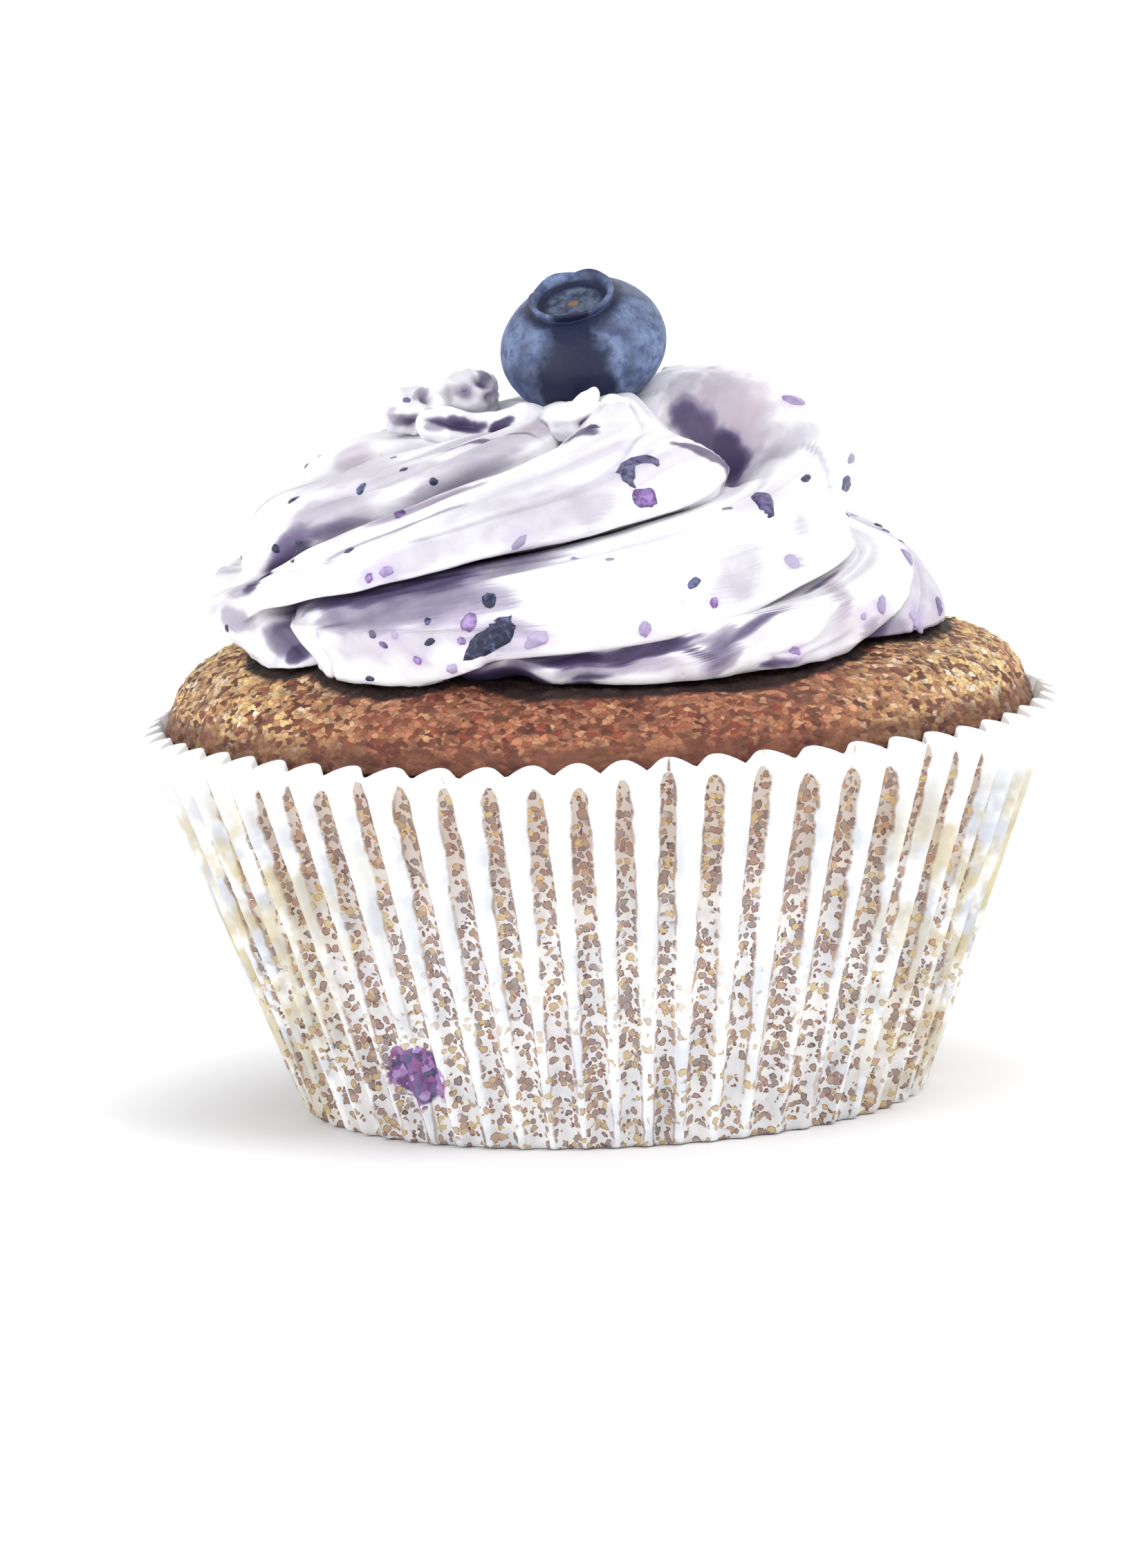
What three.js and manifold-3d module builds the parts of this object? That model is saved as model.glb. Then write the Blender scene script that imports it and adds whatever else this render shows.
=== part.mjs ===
// A blueberry muffin in a fluted paper case, topped with a piped swirl of berry cream and one blueberry.
// Millimetres, +Z up. The origin is the middle of the underside of the case, and -Y is the front.
// An azimuth is counted in degrees from the front, growing towards +X.
import * as THREE from 'three';
import { mergeVertices } from 'three/addons/utils/BufferGeometryUtils.js';
import Module from 'manifold-3d';

const wasm = await Module();
wasm.setup();

// ---- driving dimensions ----

const GAP = 0.3; // clearance between pieces that touch
const CLEANING = 0.02; // edges shorter than this are taken out after a cut

// paper case
const CASE_BASE_R = 25; // radius where the wall leaves the base
const CASE_RIM_R = 36.8; // mean radius of the rim
const CASE_HEIGHT = 32; // mean height of the rim
const CASE_TURN_HEIGHT = 1.2; // the base turns up into the wall over this height
const PAPER = 0.4; // wall thickness
const FLUTES = 60;
const FLUTE_STEPS = 4; // facets across one flute
const FLUTE_DEPTH_RIM = 0.8; // half the depth of the flutes at the rim
const FLUTE_DEPTH_BASE = 0.5; // and at the base
const FLUTE_SHARPNESS = 0.35; // 0 is a plain wave, more makes the outer ridges sharper
const RIM_SCALLOP = 0.4; // the rim rises by this at each inward groove and falls at each ridge
const RIM_WAVE = 0.35; // slow unevenness of the rim

// cake
const CRUST_EDGE_Z = 31.2; // where the crust starts to roll over, just inside the rim
const CRUST_RISE = 6.9; // from there to the top of the crust
const CRUST_SIDE_RISE = 1.2; // the crust stands higher to the left and right
const CRUST_LEAN = 0.5; // and a little higher on the left than on the right
const CRUST_POWER = 6.5; // how flat the top is before it rolls over
const CRUST_ROLL = 0.55;
const CRAG_DEPTH = 0.35; // pits in the crust that shows
const CAKE_COLUMNS = 60;
const CAKE_TOP_ROWS = 14;

// cream: a dome of CREAM_R by CREAM_RISE, piped into rolls that climb round it
const CREAM_R = 28.2;
const CREAM_Z = 38.6; // widest level of the dome
const CREAM_RISE = 18.9;
const CREAM_POWER = 2.3; // 2 is an ellipse, more is fuller at the shoulder
const CREST_LEVEL = 0.8; // level of the highest ring, round the seat of the berry
const CREST_ANGLE = THREE.MathUtils.degToRad(78);
const SEAT_DEPTH = 1.2; // how far the seat of the berry sinks
const FOOT_LEVEL = -0.06; // the foot rounds in under the edge down to this level
const FOOT_RADIUS = 4;
const FOOT_DROP = 2.2;
const CREAM_UNDERSIDE = [0.8, 0.5, 0.2]; // rings under the cream, as shares of the foot's radius
const CREAM_ROWS = 40;
const CREAM_ROW_BUNCHING = 1.35; // more than 1 puts more rows low down, where the creases climb slowly
const CREAM_STEPS = 8; // facets across one roll
const LEVEL_ARC = 45; // length of the dome's side for one unit of level

// the creases between the rolls at the front: [level, azimuth] from the foot to the middle of the seat
const FRONT_CREASES = [
  [[0, -112], [0.06, -101], [0.11, -88], [0.16, -73], [0.22, -60], [0.3, -52], [0.38, -44],
    [0.43, -36], [0.46, -30], [0.51, -23], [0.6, -13], [1, -6]],
  [[0, -50], [0.05, -57], [0.11, -61], [0.15, -57], [0.174, -49], [0.2, -41], [0.217, -33],
    [0.234, -25], [0.258, -13], [0.32, 11], [0.4, 35], [0.47, 41], [0.6, 40], [1, 42]],
  [[0, -22], [0.022, -13], [0.078, -6.5], [0.088, 12], [0.108, 33], [0.165, 53], [0.23, 70],
    [0.32, 88], [0.4, 105], [0.5, 120], [0.6, 130], [1, 140]],
];
// how far a crease round the back climbs: [level, degrees], then each one's start and share of it
const BACK_CLIMB = [[0, 0], [0.05, 7], [0.12, 19], [0.18, 35], [0.24, 49], [0.32, 65], [0.4, 79],
  [0.5, 95], [0.6, 108], [1, 130]];
const BACK_CREASES = [
  { start: 56, climb: 1.1 },
  { start: 103, climb: 0.96 },
  { start: 152, climb: 0.93 },
  { start: 203, climb: 0.73 },
];
const ROLLS = FRONT_CREASES.length + BACK_CREASES.length;

// how the rolls change with the level: [level, value]
const ROLL_HEIGHT = [[-0.06, 2], [0, 3.6], [0.1, 5], [0.3, 4.6], [0.5, 4], [0.7, 3.4], [0.85, 2.4], [1, 0]];
const ROLL_LIP = [[-0.06, 0], [0, 0.4], [0.08, 1.4], [0.3, 1.3], [0.5, 0.9], [0.8, 0.3], [1, 0]];
const ROLL_LEAN = [[-0.06, -1.6], [0, -2], [0.2, -3.2], [0.34, -2.9], [0.57, -1], [0.8, 0], [1, -0.2]];
const ROLL_TILT = [[0, 0], [0.25, 0], [0.6, 0.1], [0.8, 0.12], [1, 0]];
const ROLL_SKEW = 1.6; // moves a roll's top towards the lip over the roll below
const ROLL_ROUNDNESS = 2.6;
const ROLL_CENTRE = 0.62; // share of the roll's height that lies inside the dome
const USUAL_ROLL = 51.4; // degrees from crease to crease

// places where the cream swells (+) or sinks (-): azimuth, level, half widths, height
const SWELLS = [
  { azimuth: -90, level: 0.19, across: 26, along: 0.06, height: -3.6 }, // hollow over the left tip
  { azimuth: -84, level: -0.01, across: 20, along: 0.04, height: -4 }, // the tip stands clear
  { azimuth: -84, level: 0.29, across: 26, along: 0.07, height: -2 },
  { azimuth: -95, level: 0.57, across: 25, along: 0.08, height: 1 }, // full left shoulder
  { azimuth: 92, level: 0.265, across: 34, along: 0.09, height: -4 }, // narrow waist on the right
  { azimuth: 92, level: 0, across: 20, along: 0.06, height: 1 },
  { azimuth: -60, level: 0.75, across: 40, along: 0.12, height: -1.6 }, // shelf left of the berry
  { azimuth: -12, level: 0.5, across: 22, along: 0.12, height: 1.2 }, // smooth middle roll
  { azimuth: 38, level: 0.66, across: 16, along: 0.14, height: -2.6 }, // it slopes down at the berry
  { azimuth: 88, level: 0.4, across: 26, along: 0.08, height: 1.8 }, // full right shoulder
];
// the scoop beside the berry lies in one roll: u and level of its middle, half widths and depth
const SCOOP = { roll: 1, u: 0.06, level: 0.62, across: 0.22, along: 0.15, depth: 4.6 };
const SCOOP_EDGE = 0.05; // the scoop starts this far across its roll

// dabs of cream round the berry: middle and half sizes along x, y and z
const DABS = [
  { middle: [-14.2, -1.8, 56.9], half: [2.35, 2.2, 1.95] },
  { middle: [-9.5, 1.6, 57.7], half: [2.75, 2.3, 2.15] },
  { middle: [-1.1, -9.2, 56.2], half: [2.6, 2.1, 1.75] },
  { middle: [2.5, -8, 56.6], half: [1.5, 1.5, 1.55] },
  { middle: [8.3, 5.2, 57.6], half: [2.3, 2.1, 1.7] },
];
const DAB_SIDES = 10;
const DAB_RINGS = 6;

// the folded ribbon and the small peak before the berry: points along the middle, and radius
const CURLS = [
  {
    path: [[-13.6, -4.6, 56.5], [-12, -6.8, 56.2], [-9.6, -8.2, 55.9], [-7.4, -8.7, 56], [-5, -8.8, 56.4],
      [-2.2, -8.6, 56.2]],
    radius: 1.5,
    taper: 3.5,
  },
  {
    path: [[-2.4, -9, 56.8], [-0.8, -9.2, 57.5], [0.2, -8.8, 58.2], [0.6, -8.3, 59]],
    radius: 0.75,
    taper: 1.2,
  },
];
const CURL_ROWS = 18;
const CURL_SIDES = 8;
const CREAM_LUMPS = 0.12; // unevenness of the dabs and curls, as a share of their size

// blueberry
const BERRY_R = 6.8;
const BERRY_HALF_HEIGHT = 5.05; // along its own axis, stem to crown
const BERRY_CENTRE = new THREE.Vector3(-0.1, 0, 61.6);
const BERRY_AXIS = new THREE.Vector3(-0.17, -0.44, 0.88).normalize();
const CROWN_R = 3.3; // ring of the crown
const CROWN_RISE = 0.7;
const CROWN_DEPTH = 1.1; // the disc inside the ring lies this far below it
const CROWN_POINTS = 5;
const BERRY_COLUMNS = 30;
const BERRY_ROWS = 12;

// bits of berry skin in the cream: the ones at the front lie where a sight from the front, a little
// above and from this far away, meets the cream: across and up from the target, length, width, turn
const SIGHT_TARGET = new THREE.Vector3(-2.75, 0, 25.7);
const SIGHT_DISTANCE = 700;
const SIGHT_ELEVATION = THREE.MathUtils.degToRad(8.33);
const SIGHT_ROLL = THREE.MathUtils.degToRad(2.45);
const SIGHT_REACH = 0.5; // points this close to the line of sight count as met
const FRONT_FLECKS = [
  [-6.4, 11.9, 4.5, 1.8, 33],
  [-8.2, 13.2, 1.5, 1.2, 60],
  [-2.6, 11.8, 2, 1.3, 30],
  [-6.6, 15, 1.2, 1.2, 0],
  [-17, 24.2, 1.2, 0.7, 80],
  [-4.1, 19.7, 1.5, 0.7, 35],
  [5.6, 27, 2.2, 1.1, 0],
  [3.8, 25, 2.2, 1.1, 70],
  [6.3, 23.4, 2, 1.8, 0],
  [15.9, 23.2, 2.6, 1.7, 85],
  [18.3, 31.4, 1.8, 1.2, -25],
  [23.2, 24.6, 1.2, 1.1, 0],
  [10.2, 16.4, 1.3, 0.8, 25],
  [6.2, 12.6, 1.3, 1, 80],
  [18.2, 18.2, 1.4, 1.2, 0],
  [25.5, 14.7, 1.6, 1.4, 60],
  [28.1, 18.7, 1.5, 1.2, 70],
];
const BACK_FLECKS = 16; // the others lie round the back
const SEEN_LEVELS = 120; // the grid of points that the line of sight is tested on
const SEEN_STEPS = 36;
const SEEN_TOP = 0.7; // its highest level
const FLECK_SIZE = [1.1, 1.9]; // shortest and longest of these
const FLECK_RISE = 0.45; // share of a fleck's width that it stands out of the cream
const FLECK_SINK = 0.15; // its middle lies this deep
const FLECK_SEED = 11;

// ---- helpers ----

// point at a radius, an azimuth in radians and a height
function polar(radius, azimuth, z) {
  return new THREE.Vector3(radius * Math.sin(azimuth), -radius * Math.cos(azimuth), z);
}

// straight-line value at x of a list of [x, value] pairs
function graph(x, pairs) {
  let i = 1;
  while (i < pairs.length - 1 && x > pairs[i][0]) {
    i += 1;
  }
  const [x0, y0] = pairs[i - 1];
  const [x1, y1] = pairs[i];
  return y0 + (y1 - y0) * THREE.MathUtils.clamp((x - x0) / (x1 - x0), 0, 1);
}

// smooth curve through [x, y] pairs that never overshoots them: cubic pieces with harmonic mean slopes
function throughPoints(x, pairs) {
  const xs = pairs.map((pair) => pair[0]);
  const ys = pairs.map((pair) => pair[1]);
  const slope = (i) => (ys[i + 1] - ys[i]) / (xs[i + 1] - xs[i]);
  const tangent = (i) => {
    if (i === 0) {
      return slope(0);
    }
    if (i === xs.length - 1) {
      return slope(i - 1);
    }
    const before = xs[i] - xs[i - 1];
    const after = xs[i + 1] - xs[i];
    if (slope(i - 1) * slope(i) <= 0) {
      return 0;
    }
    const w1 = 2 * after + before;
    const w2 = after + 2 * before;
    return (w1 + w2) / (w1 / slope(i - 1) + w2 / slope(i));
  };
  let i = 0;
  while (i < xs.length - 2 && x > xs[i + 1]) {
    i += 1;
  }
  const h = xs[i + 1] - xs[i];
  const s = THREE.MathUtils.clamp((x - xs[i]) / h, 0, 1);
  return (1 + 2 * s) * (1 - s) ** 2 * ys[i] + s * (1 - s) ** 2 * h * tangent(i)
    + s * s * (3 - 2 * s) * ys[i + 1] + s * s * (s - 1) * h * tangent(i + 1);
}

// closed skin over rings of points that all have the same length, from a first to a last pole;
// seen from outside, the rings run anticlockwise about the way from the first pole to the last
function skin(first, rings, last) {
  const columns = rings[0].length;
  const points = [first, ...rings.flat(), last];
  const index = [];
  const at = (ring, column) => 1 + ring * columns + (column % columns);
  for (let c = 0; c < columns; c += 1) {
    index.push(0, at(0, c + 1), at(0, c));
    index.push(points.length - 1, at(rings.length - 1, c), at(rings.length - 1, c + 1));
    for (let r = 0; r < rings.length - 1; r += 1) {
      index.push(at(r, c), at(r, c + 1), at(r + 1, c + 1));
      index.push(at(r, c), at(r + 1, c + 1), at(r + 1, c));
    }
  }
  const geometry = new THREE.BufferGeometry().setFromPoints(points);
  geometry.setIndex(index);
  return geometry;
}

// solid of a closed geometry, and back
function toSolid(geometry) {
  const bare = geometry.clone();
  bare.deleteAttribute('normal');
  bare.deleteAttribute('uv');
  const merged = mergeVertices(bare, 1e-4);
  return new wasm.Manifold(new wasm.Mesh({
    numProp: 3,
    vertProperties: Float32Array.from(merged.attributes.position.array),
    triVerts: Uint32Array.from(merged.index.array),
  }));
}

function toGeometry(solid) {
  const mesh = solid.getMesh();
  const geometry = new THREE.BufferGeometry();
  geometry.setAttribute('position', new THREE.BufferAttribute(mesh.vertProperties, 3));
  geometry.setIndex(new THREE.BufferAttribute(mesh.triVerts, 1));
  return geometry;
}

// repeatable random numbers from 0 to 1
function randomFrom(seed) {
  let state = seed;
  return () => {
    state = (state * 16807) % 2147483647;
    return state / 2147483647;
  };
}

function evenTurns(count) {
  return Array.from({ length: count }, (unused, i) => (2 * Math.PI * i) / count);
}

// ---- paper case ----

// mean radius of the wall at a height
function caseRadius(z) {
  return CASE_BASE_R + ((CASE_RIM_R - CASE_BASE_R) * z) / CASE_HEIGHT;
}

function fluteDepth(z) {
  return FLUTE_DEPTH_BASE + ((FLUTE_DEPTH_RIM - FLUTE_DEPTH_BASE) * z) / CASE_HEIGHT;
}

// +1 on a ridge, -1 in a groove; the flutes are slightly uneven round the case
function fluteWave(azimuth) {
  const uneven = azimuth + 0.012 * Math.sin(3 * azimuth + 1) + 0.008 * Math.sin(7 * azimuth);
  const wave = Math.cos(FLUTES * uneven);
  return wave + FLUTE_SHARPNESS * (wave * wave - 1);
}

// radius of the wall's middle at an azimuth and height; the flutes die out towards the flat base
function wallRadius(azimuth, z) {
  const fade = THREE.MathUtils.smoothstep(z, -CASE_TURN_HEIGHT, CASE_TURN_HEIGHT);
  return caseRadius(z) + fluteDepth(z) * fade * fluteWave(azimuth);
}

function rimHeight(azimuth) {
  const slow = 0.6 * Math.sin(2 * azimuth + 1.1) + 0.4 * Math.sin(5 * azimuth + 0.4);
  return CASE_HEIGHT + RIM_WAVE * slow - RIM_SCALLOP * fluteWave(azimuth);
}

function makeCase() {
  const turns = evenTurns(FLUTES * FLUTE_STEPS);
  const ring = (height, offset, z) => turns.map((a) => {
    const level = height(a);
    return polar(wallRadius(a, level) + offset, a, z === undefined ? level : z);
  });
  const half = PAPER / 2;
  const base = () => 0;
  const turn = () => CASE_TURN_HEIGHT;
  const floor = () => PAPER;
  return skin(
    new THREE.Vector3(0, 0, 0),
    [
      ring(base, -CASE_TURN_HEIGHT / 2, 0),
      ring(turn, half),
      ring(rimHeight, half),
      ring(rimHeight, -half),
      ring(() => CASE_TURN_HEIGHT + PAPER, -half),
      ring(floor, -half - CASE_TURN_HEIGHT / 2, PAPER),
    ],
    new THREE.Vector3(0, 0, PAPER),
  );
}

// ---- cake ----

const CAKE_R = CASE_RIM_R - FLUTE_DEPTH_RIM - PAPER / 2 - GAP; // widest radius, just inside the rim

// height of the crust: nearly flat under the cream, rolling over to the rim of the case
function crustHeight(radius, azimuth) {
  const share = Math.min(radius / CAKE_R, 1);
  const rise = CRUST_RISE + CRUST_SIDE_RISE * Math.sin(azimuth) ** 2 - CRUST_LEAN * Math.sin(azimuth);
  return CRUST_EDGE_Z + rise * (1 - share ** CRUST_POWER) ** CRUST_ROLL;
}

// pits in the crust outside the cream, 0 to 1
function crag(radius, azimuth) {
  const p = polar(radius, azimuth, 0);
  const noise = Math.sin(1.9 * p.x + 1.3 * p.y) * Math.sin(1.1 * p.x - 2.3 * p.y + 1)
    + 0.6 * Math.sin(3.1 * p.x + 0.7) * Math.sin(2.7 * p.y);
  return THREE.MathUtils.smoothstep(radius, CREAM_R, CREAM_R + 3) * (0.5 + 0.31 * noise);
}

function makeCake() {
  const turns = evenTurns(CAKE_COLUMNS);
  const sideRadius = (z) => caseRadius(z) - fluteDepth(z) - PAPER / 2 - GAP;
  const bottom = PAPER + GAP;
  const side = [
    turns.map((a) => polar(sideRadius(bottom) - CASE_TURN_HEIGHT, a, bottom)),
    turns.map((a) => polar(sideRadius(bottom + CASE_TURN_HEIGHT), a, bottom + CASE_TURN_HEIGHT)),
    turns.map((a) => polar(sideRadius(CRUST_EDGE_Z), a, CRUST_EDGE_Z)),
  ];
  const top = [];
  for (let i = 1; i <= CAKE_TOP_ROWS; i += 1) {
    const radius = CAKE_R * (1 - (i / (CAKE_TOP_ROWS + 1)) ** 2);
    top.push(turns.map((a) => {
      const low = CRAG_DEPTH * crag(radius, a);
      return polar(radius - low, a, crustHeight(radius, a) - low);
    }));
  }
  return skin(new THREE.Vector3(0, 0, bottom), [...side, ...top], new THREE.Vector3(0, 0, crustHeight(0, 0)));
}

// ---- cream ----

// azimuths in degrees of all creases at a level, and the first one again a full turn on
function creases(level) {
  const front = FRONT_CREASES.map((crease) => throughPoints(level, crease));
  const climb = throughPoints(level, BACK_CLIMB);
  const back = BACK_CREASES.map((crease) => crease.start + crease.climb * climb);
  return [...front, ...back, front[0] + 360];
}

// radius and height of the smooth dome at a level: a superellipse, then the dip of the berry's seat
function dome(level) {
  const angle = THREE.MathUtils.clamp(level / CREST_LEVEL, -0.2, 1) * CREST_ANGLE;
  const power = 2 / CREAM_POWER;
  const seat = THREE.MathUtils.clamp((level - CREST_LEVEL) / (1 - CREST_LEVEL), 0, 1);
  const radius = CREAM_R * Math.cos(angle) ** power * (1 - seat);
  const height = CREAM_Z + CREAM_RISE * Math.sign(angle) * Math.abs(Math.sin(angle)) ** power;
  return new THREE.Vector2(radius, height - SEAT_DEPTH * THREE.MathUtils.smoothstep(seat, 0, 1));
}

// the dome's outline at a level with its outward normal; below level 0 it is the round foot
function domeFrame(level) {
  if (level < 0) {
    const turn = Math.min(level / FOOT_LEVEL, 1) * (Math.PI / 2);
    return {
      at: new THREE.Vector2(CREAM_R - FOOT_RADIUS * (1 - Math.cos(turn)), CREAM_Z - FOOT_DROP * Math.sin(turn)),
      normal: new THREE.Vector2(Math.cos(turn), -Math.sin(turn)),
    };
  }
  const along = dome(level + 0.001).sub(dome(Math.max(level - 0.001, 0))).normalize();
  return { at: dome(level), normal: new THREE.Vector2(along.y, -along.x) };
}

// cross-section of one roll: 0 in the creases, 1 on its top
function rollSection(u) {
  return (1 - Math.abs(2 * u ** ROLL_SKEW - 1) ** ROLL_ROUNDNESS) ** (1 / ROLL_ROUNDNESS);
}

// point of the cream on a roll, u across it from 0 (tucked under the roll above) to 1 (its lower lip)
function creamPoint(roll, u, level) {
  const edges = creases(level);
  const width = edges[roll + 1] - edges[roll];
  const azimuth = THREE.MathUtils.degToRad(edges[roll] + width * u);
  const lip = Math.exp(-(((u - 0.9) / 0.07) ** 2));
  const tuck = Math.exp(-((u / 0.05) ** 2)) + Math.exp(-(((1 - u) / 0.025) ** 2));
  const shifted = level + (graph(level, ROLL_LIP) * (0.8 * tuck - lip) * 1.3) / LEVEL_ARC;
  const { at, normal } = domeFrame(shifted);
  const share = Math.sqrt(THREE.MathUtils.clamp(width / USUAL_ROLL, 0.5, 1.5));
  let height = graph(level, ROLL_HEIGHT) * share * (rollSection(u) - ROLL_CENTRE);
  for (const swell of SWELLS) {
    const turn = THREE.MathUtils.euclideanModulo(edges[roll] + width * u - swell.azimuth + 180, 360) - 180;
    const reach = (turn / swell.across) ** 2 + ((shifted - swell.level) / swell.along) ** 2;
    height += swell.height * Math.exp(-reach);
  }
  if (roll === SCOOP.roll) {
    const reach = ((u - SCOOP.u) / SCOOP.across) ** 2 + ((shifted - SCOOP.level) / SCOOP.along) ** 2;
    height -= SCOOP.depth * Math.exp(-reach) * THREE.MathUtils.smoothstep(u, 0, SCOOP_EDGE);
  }
  const point = polar(Math.max(at.x + normal.x * height, 0), azimuth, at.y + normal.y * height);
  point.x += graph(shifted, ROLL_LEAN);
  point.z += graph(shifted, ROLL_TILT) * point.x;
  const floor = crustHeight(Math.hypot(point.x, point.y), azimuth) + GAP;
  point.z = Math.max(point.z, floor);
  return point;
}

// ring of points at a level, closer together towards the lip of each roll
function creamRing(level) {
  const ring = [];
  for (let roll = 0; roll < ROLLS; roll += 1) {
    for (let i = 0; i < CREAM_STEPS; i += 1) {
      const s = i / CREAM_STEPS;
      ring.push(creamPoint(roll, s - (0.1 * Math.sin(2 * Math.PI * s)) / (2 * Math.PI), level));
    }
  }
  return ring;
}

function makeSwirl() {
  const rings = [creamRing(FOOT_LEVEL), creamRing(FOOT_LEVEL / 2)];
  for (let i = 0; i < CREAM_ROWS; i += 1) {
    rings.push(creamRing((i / CREAM_ROWS) ** CREAM_ROW_BUNCHING));
  }
  const under = [...CREAM_UNDERSIDE].reverse().map((share) => rings[0].map((edge) => {
    const p = edge.clone().multiplyScalar(share);
    p.z = crustHeight(Math.hypot(p.x, p.y), Math.atan2(p.x, -p.y)) + GAP;
    return p;
  }));
  const seat = creamPoint(0, 0.5, 1);
  return skin(new THREE.Vector3(0, 0, crustHeight(0, 0) + GAP), [...under, ...rings], seat);
}

// lumpy ellipsoid
function makeDab({ middle, half }) {
  const dab = new THREE.SphereGeometry(1, DAB_SIDES, DAB_RINGS);
  const position = dab.attributes.position;
  for (let i = 0; i < position.count; i += 1) {
    const p = new THREE.Vector3().fromBufferAttribute(position, i);
    const lumps = 1 + CREAM_LUMPS * Math.sin(3 * p.x + middle[0]) * Math.cos(3 * p.z + middle[1]);
    position.setXYZ(i, p.x * lumps, p.y * lumps, p.z * lumps);
  }
  dab.scale(...half);
  dab.translate(...middle);
  return dab;
}

// lumpy roll along a path, thin at both ends
function makeCurl({ path: points, radius: full, taper }) {
  const path = new THREE.CatmullRomCurve3(points.map((p) => new THREE.Vector3(...p)));
  const up = new THREE.Vector3(0, 0, 1);
  const rings = [];
  for (let i = 0; i < CURL_ROWS; i += 1) {
    const s = (i + 0.5) / CURL_ROWS;
    const along = path.getTangent(s);
    const across = new THREE.Vector3().crossVectors(up, along).normalize();
    const upward = new THREE.Vector3().crossVectors(along, across);
    const lumps = 1 + CREAM_LUMPS * Math.sin(21 * s);
    const radius = full * Math.sqrt(1 - Math.abs(2 * s - 1) ** taper) * lumps;
    rings.push(evenTurns(CURL_SIDES).map((a) => path.getPoint(s)
      .addScaledVector(across, radius * Math.cos(a))
      .addScaledVector(upward, radius * Math.sin(a))));
  }
  return skin(path.getPoint(0), rings, path.getPoint(1));
}

// roll and position across it that lie at an azimuth, at a level
function rollAt(azimuth, level) {
  const edges = creases(level);
  const turned = edges[0] + THREE.MathUtils.euclideanModulo(azimuth - edges[0], 360);
  let roll = 0;
  while (turned > edges[roll + 1]) {
    roll += 1;
  }
  return { roll, u: (turned - edges[roll]) / (edges[roll + 1] - edges[roll]) };
}

// points of the cream over its levels and rolls, and where each is seen from the front
function seenPoints() {
  const back = new THREE.Vector3(0, -Math.cos(SIGHT_ELEVATION), Math.sin(SIGHT_ELEVATION));
  const right = new THREE.Vector3(1, 0, 0).applyAxisAngle(back, -SIGHT_ROLL);
  const up = new THREE.Vector3().crossVectors(back, right);
  const eye = SIGHT_TARGET.clone().addScaledVector(back, SIGHT_DISTANCE);
  const seen = [];
  for (let i = 0; i < SEEN_LEVELS; i += 1) {
    const level = (SEEN_TOP * i) / SEEN_LEVELS;
    for (let roll = 0; roll < ROLLS; roll += 1) {
      for (let k = 0; k < SEEN_STEPS; k += 1) {
        const u = k / SEEN_STEPS;
        const away = creamPoint(roll, u, level).sub(eye);
        const depth = -away.dot(back);
        const scale = SIGHT_DISTANCE / depth;
        seen.push({ roll, u, level, depth, across: away.dot(right) * scale, up: away.dot(up) * scale });
      }
    }
  }
  return seen;
}

// the foremost of the seen points that lie close to a line of sight
function frontPlace(seen, across, up) {
  const distance = (point) => Math.hypot(point.across - across, point.up - up);
  const reach = Math.max(SIGHT_REACH, Math.min(...seen.map(distance)) + SIGHT_REACH / 4);
  const met = seen.filter((point) => distance(point) <= reach);
  return met.reduce((best, point) => (point.depth < best.depth ? point : best));
}

// a bit of skin lying in the cream: a flat lens, turned in the surface from level
function makeFleck({ roll, u, level }, length, width, turn) {
  const step = 0.02;
  const at = creamPoint(roll, u, level);
  const further = creamPoint(roll, u, level + step).sub(at);
  const sideways = creamPoint(roll, Math.min(u + step, 1), level).sub(at);
  const outward = new THREE.Vector3().crossVectors(sideways, further).normalize();
  const upward = new THREE.Vector3(0, 0, 1).addScaledVector(outward, -outward.z).normalize();
  const across = new THREE.Vector3().crossVectors(upward, outward);
  const fleck = new THREE.SphereGeometry(0.5, 5, 3);
  fleck.scale(length, width, width * 2 * FLECK_RISE);
  fleck.rotateZ(THREE.MathUtils.degToRad(turn));
  fleck.applyMatrix4(new THREE.Matrix4().makeBasis(across, upward, outward));
  at.addScaledVector(outward, -FLECK_SINK);
  fleck.translate(at.x, at.y, at.z);
  return fleck;
}

function makeFlecks() {
  const random = randomFrom(FLECK_SEED);
  const seen = seenPoints();
  const flecks = FRONT_FLECKS.map(([across, up, ...size]) => makeFleck(frontPlace(seen, across, up), ...size));
  for (let i = 0; i < BACK_FLECKS; i += 1) {
    const azimuth = 90 + (180 * (i + 0.8 * random())) / BACK_FLECKS;
    const level = 0.06 + 0.5 * random();
    const size = THREE.MathUtils.lerp(...FLECK_SIZE, random());
    flecks.push(makeFleck({ ...rollAt(azimuth, level), level }, size, size * 0.8, 180 * random()));
  }
  return flecks;
}

// ---- blueberry ----

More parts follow.
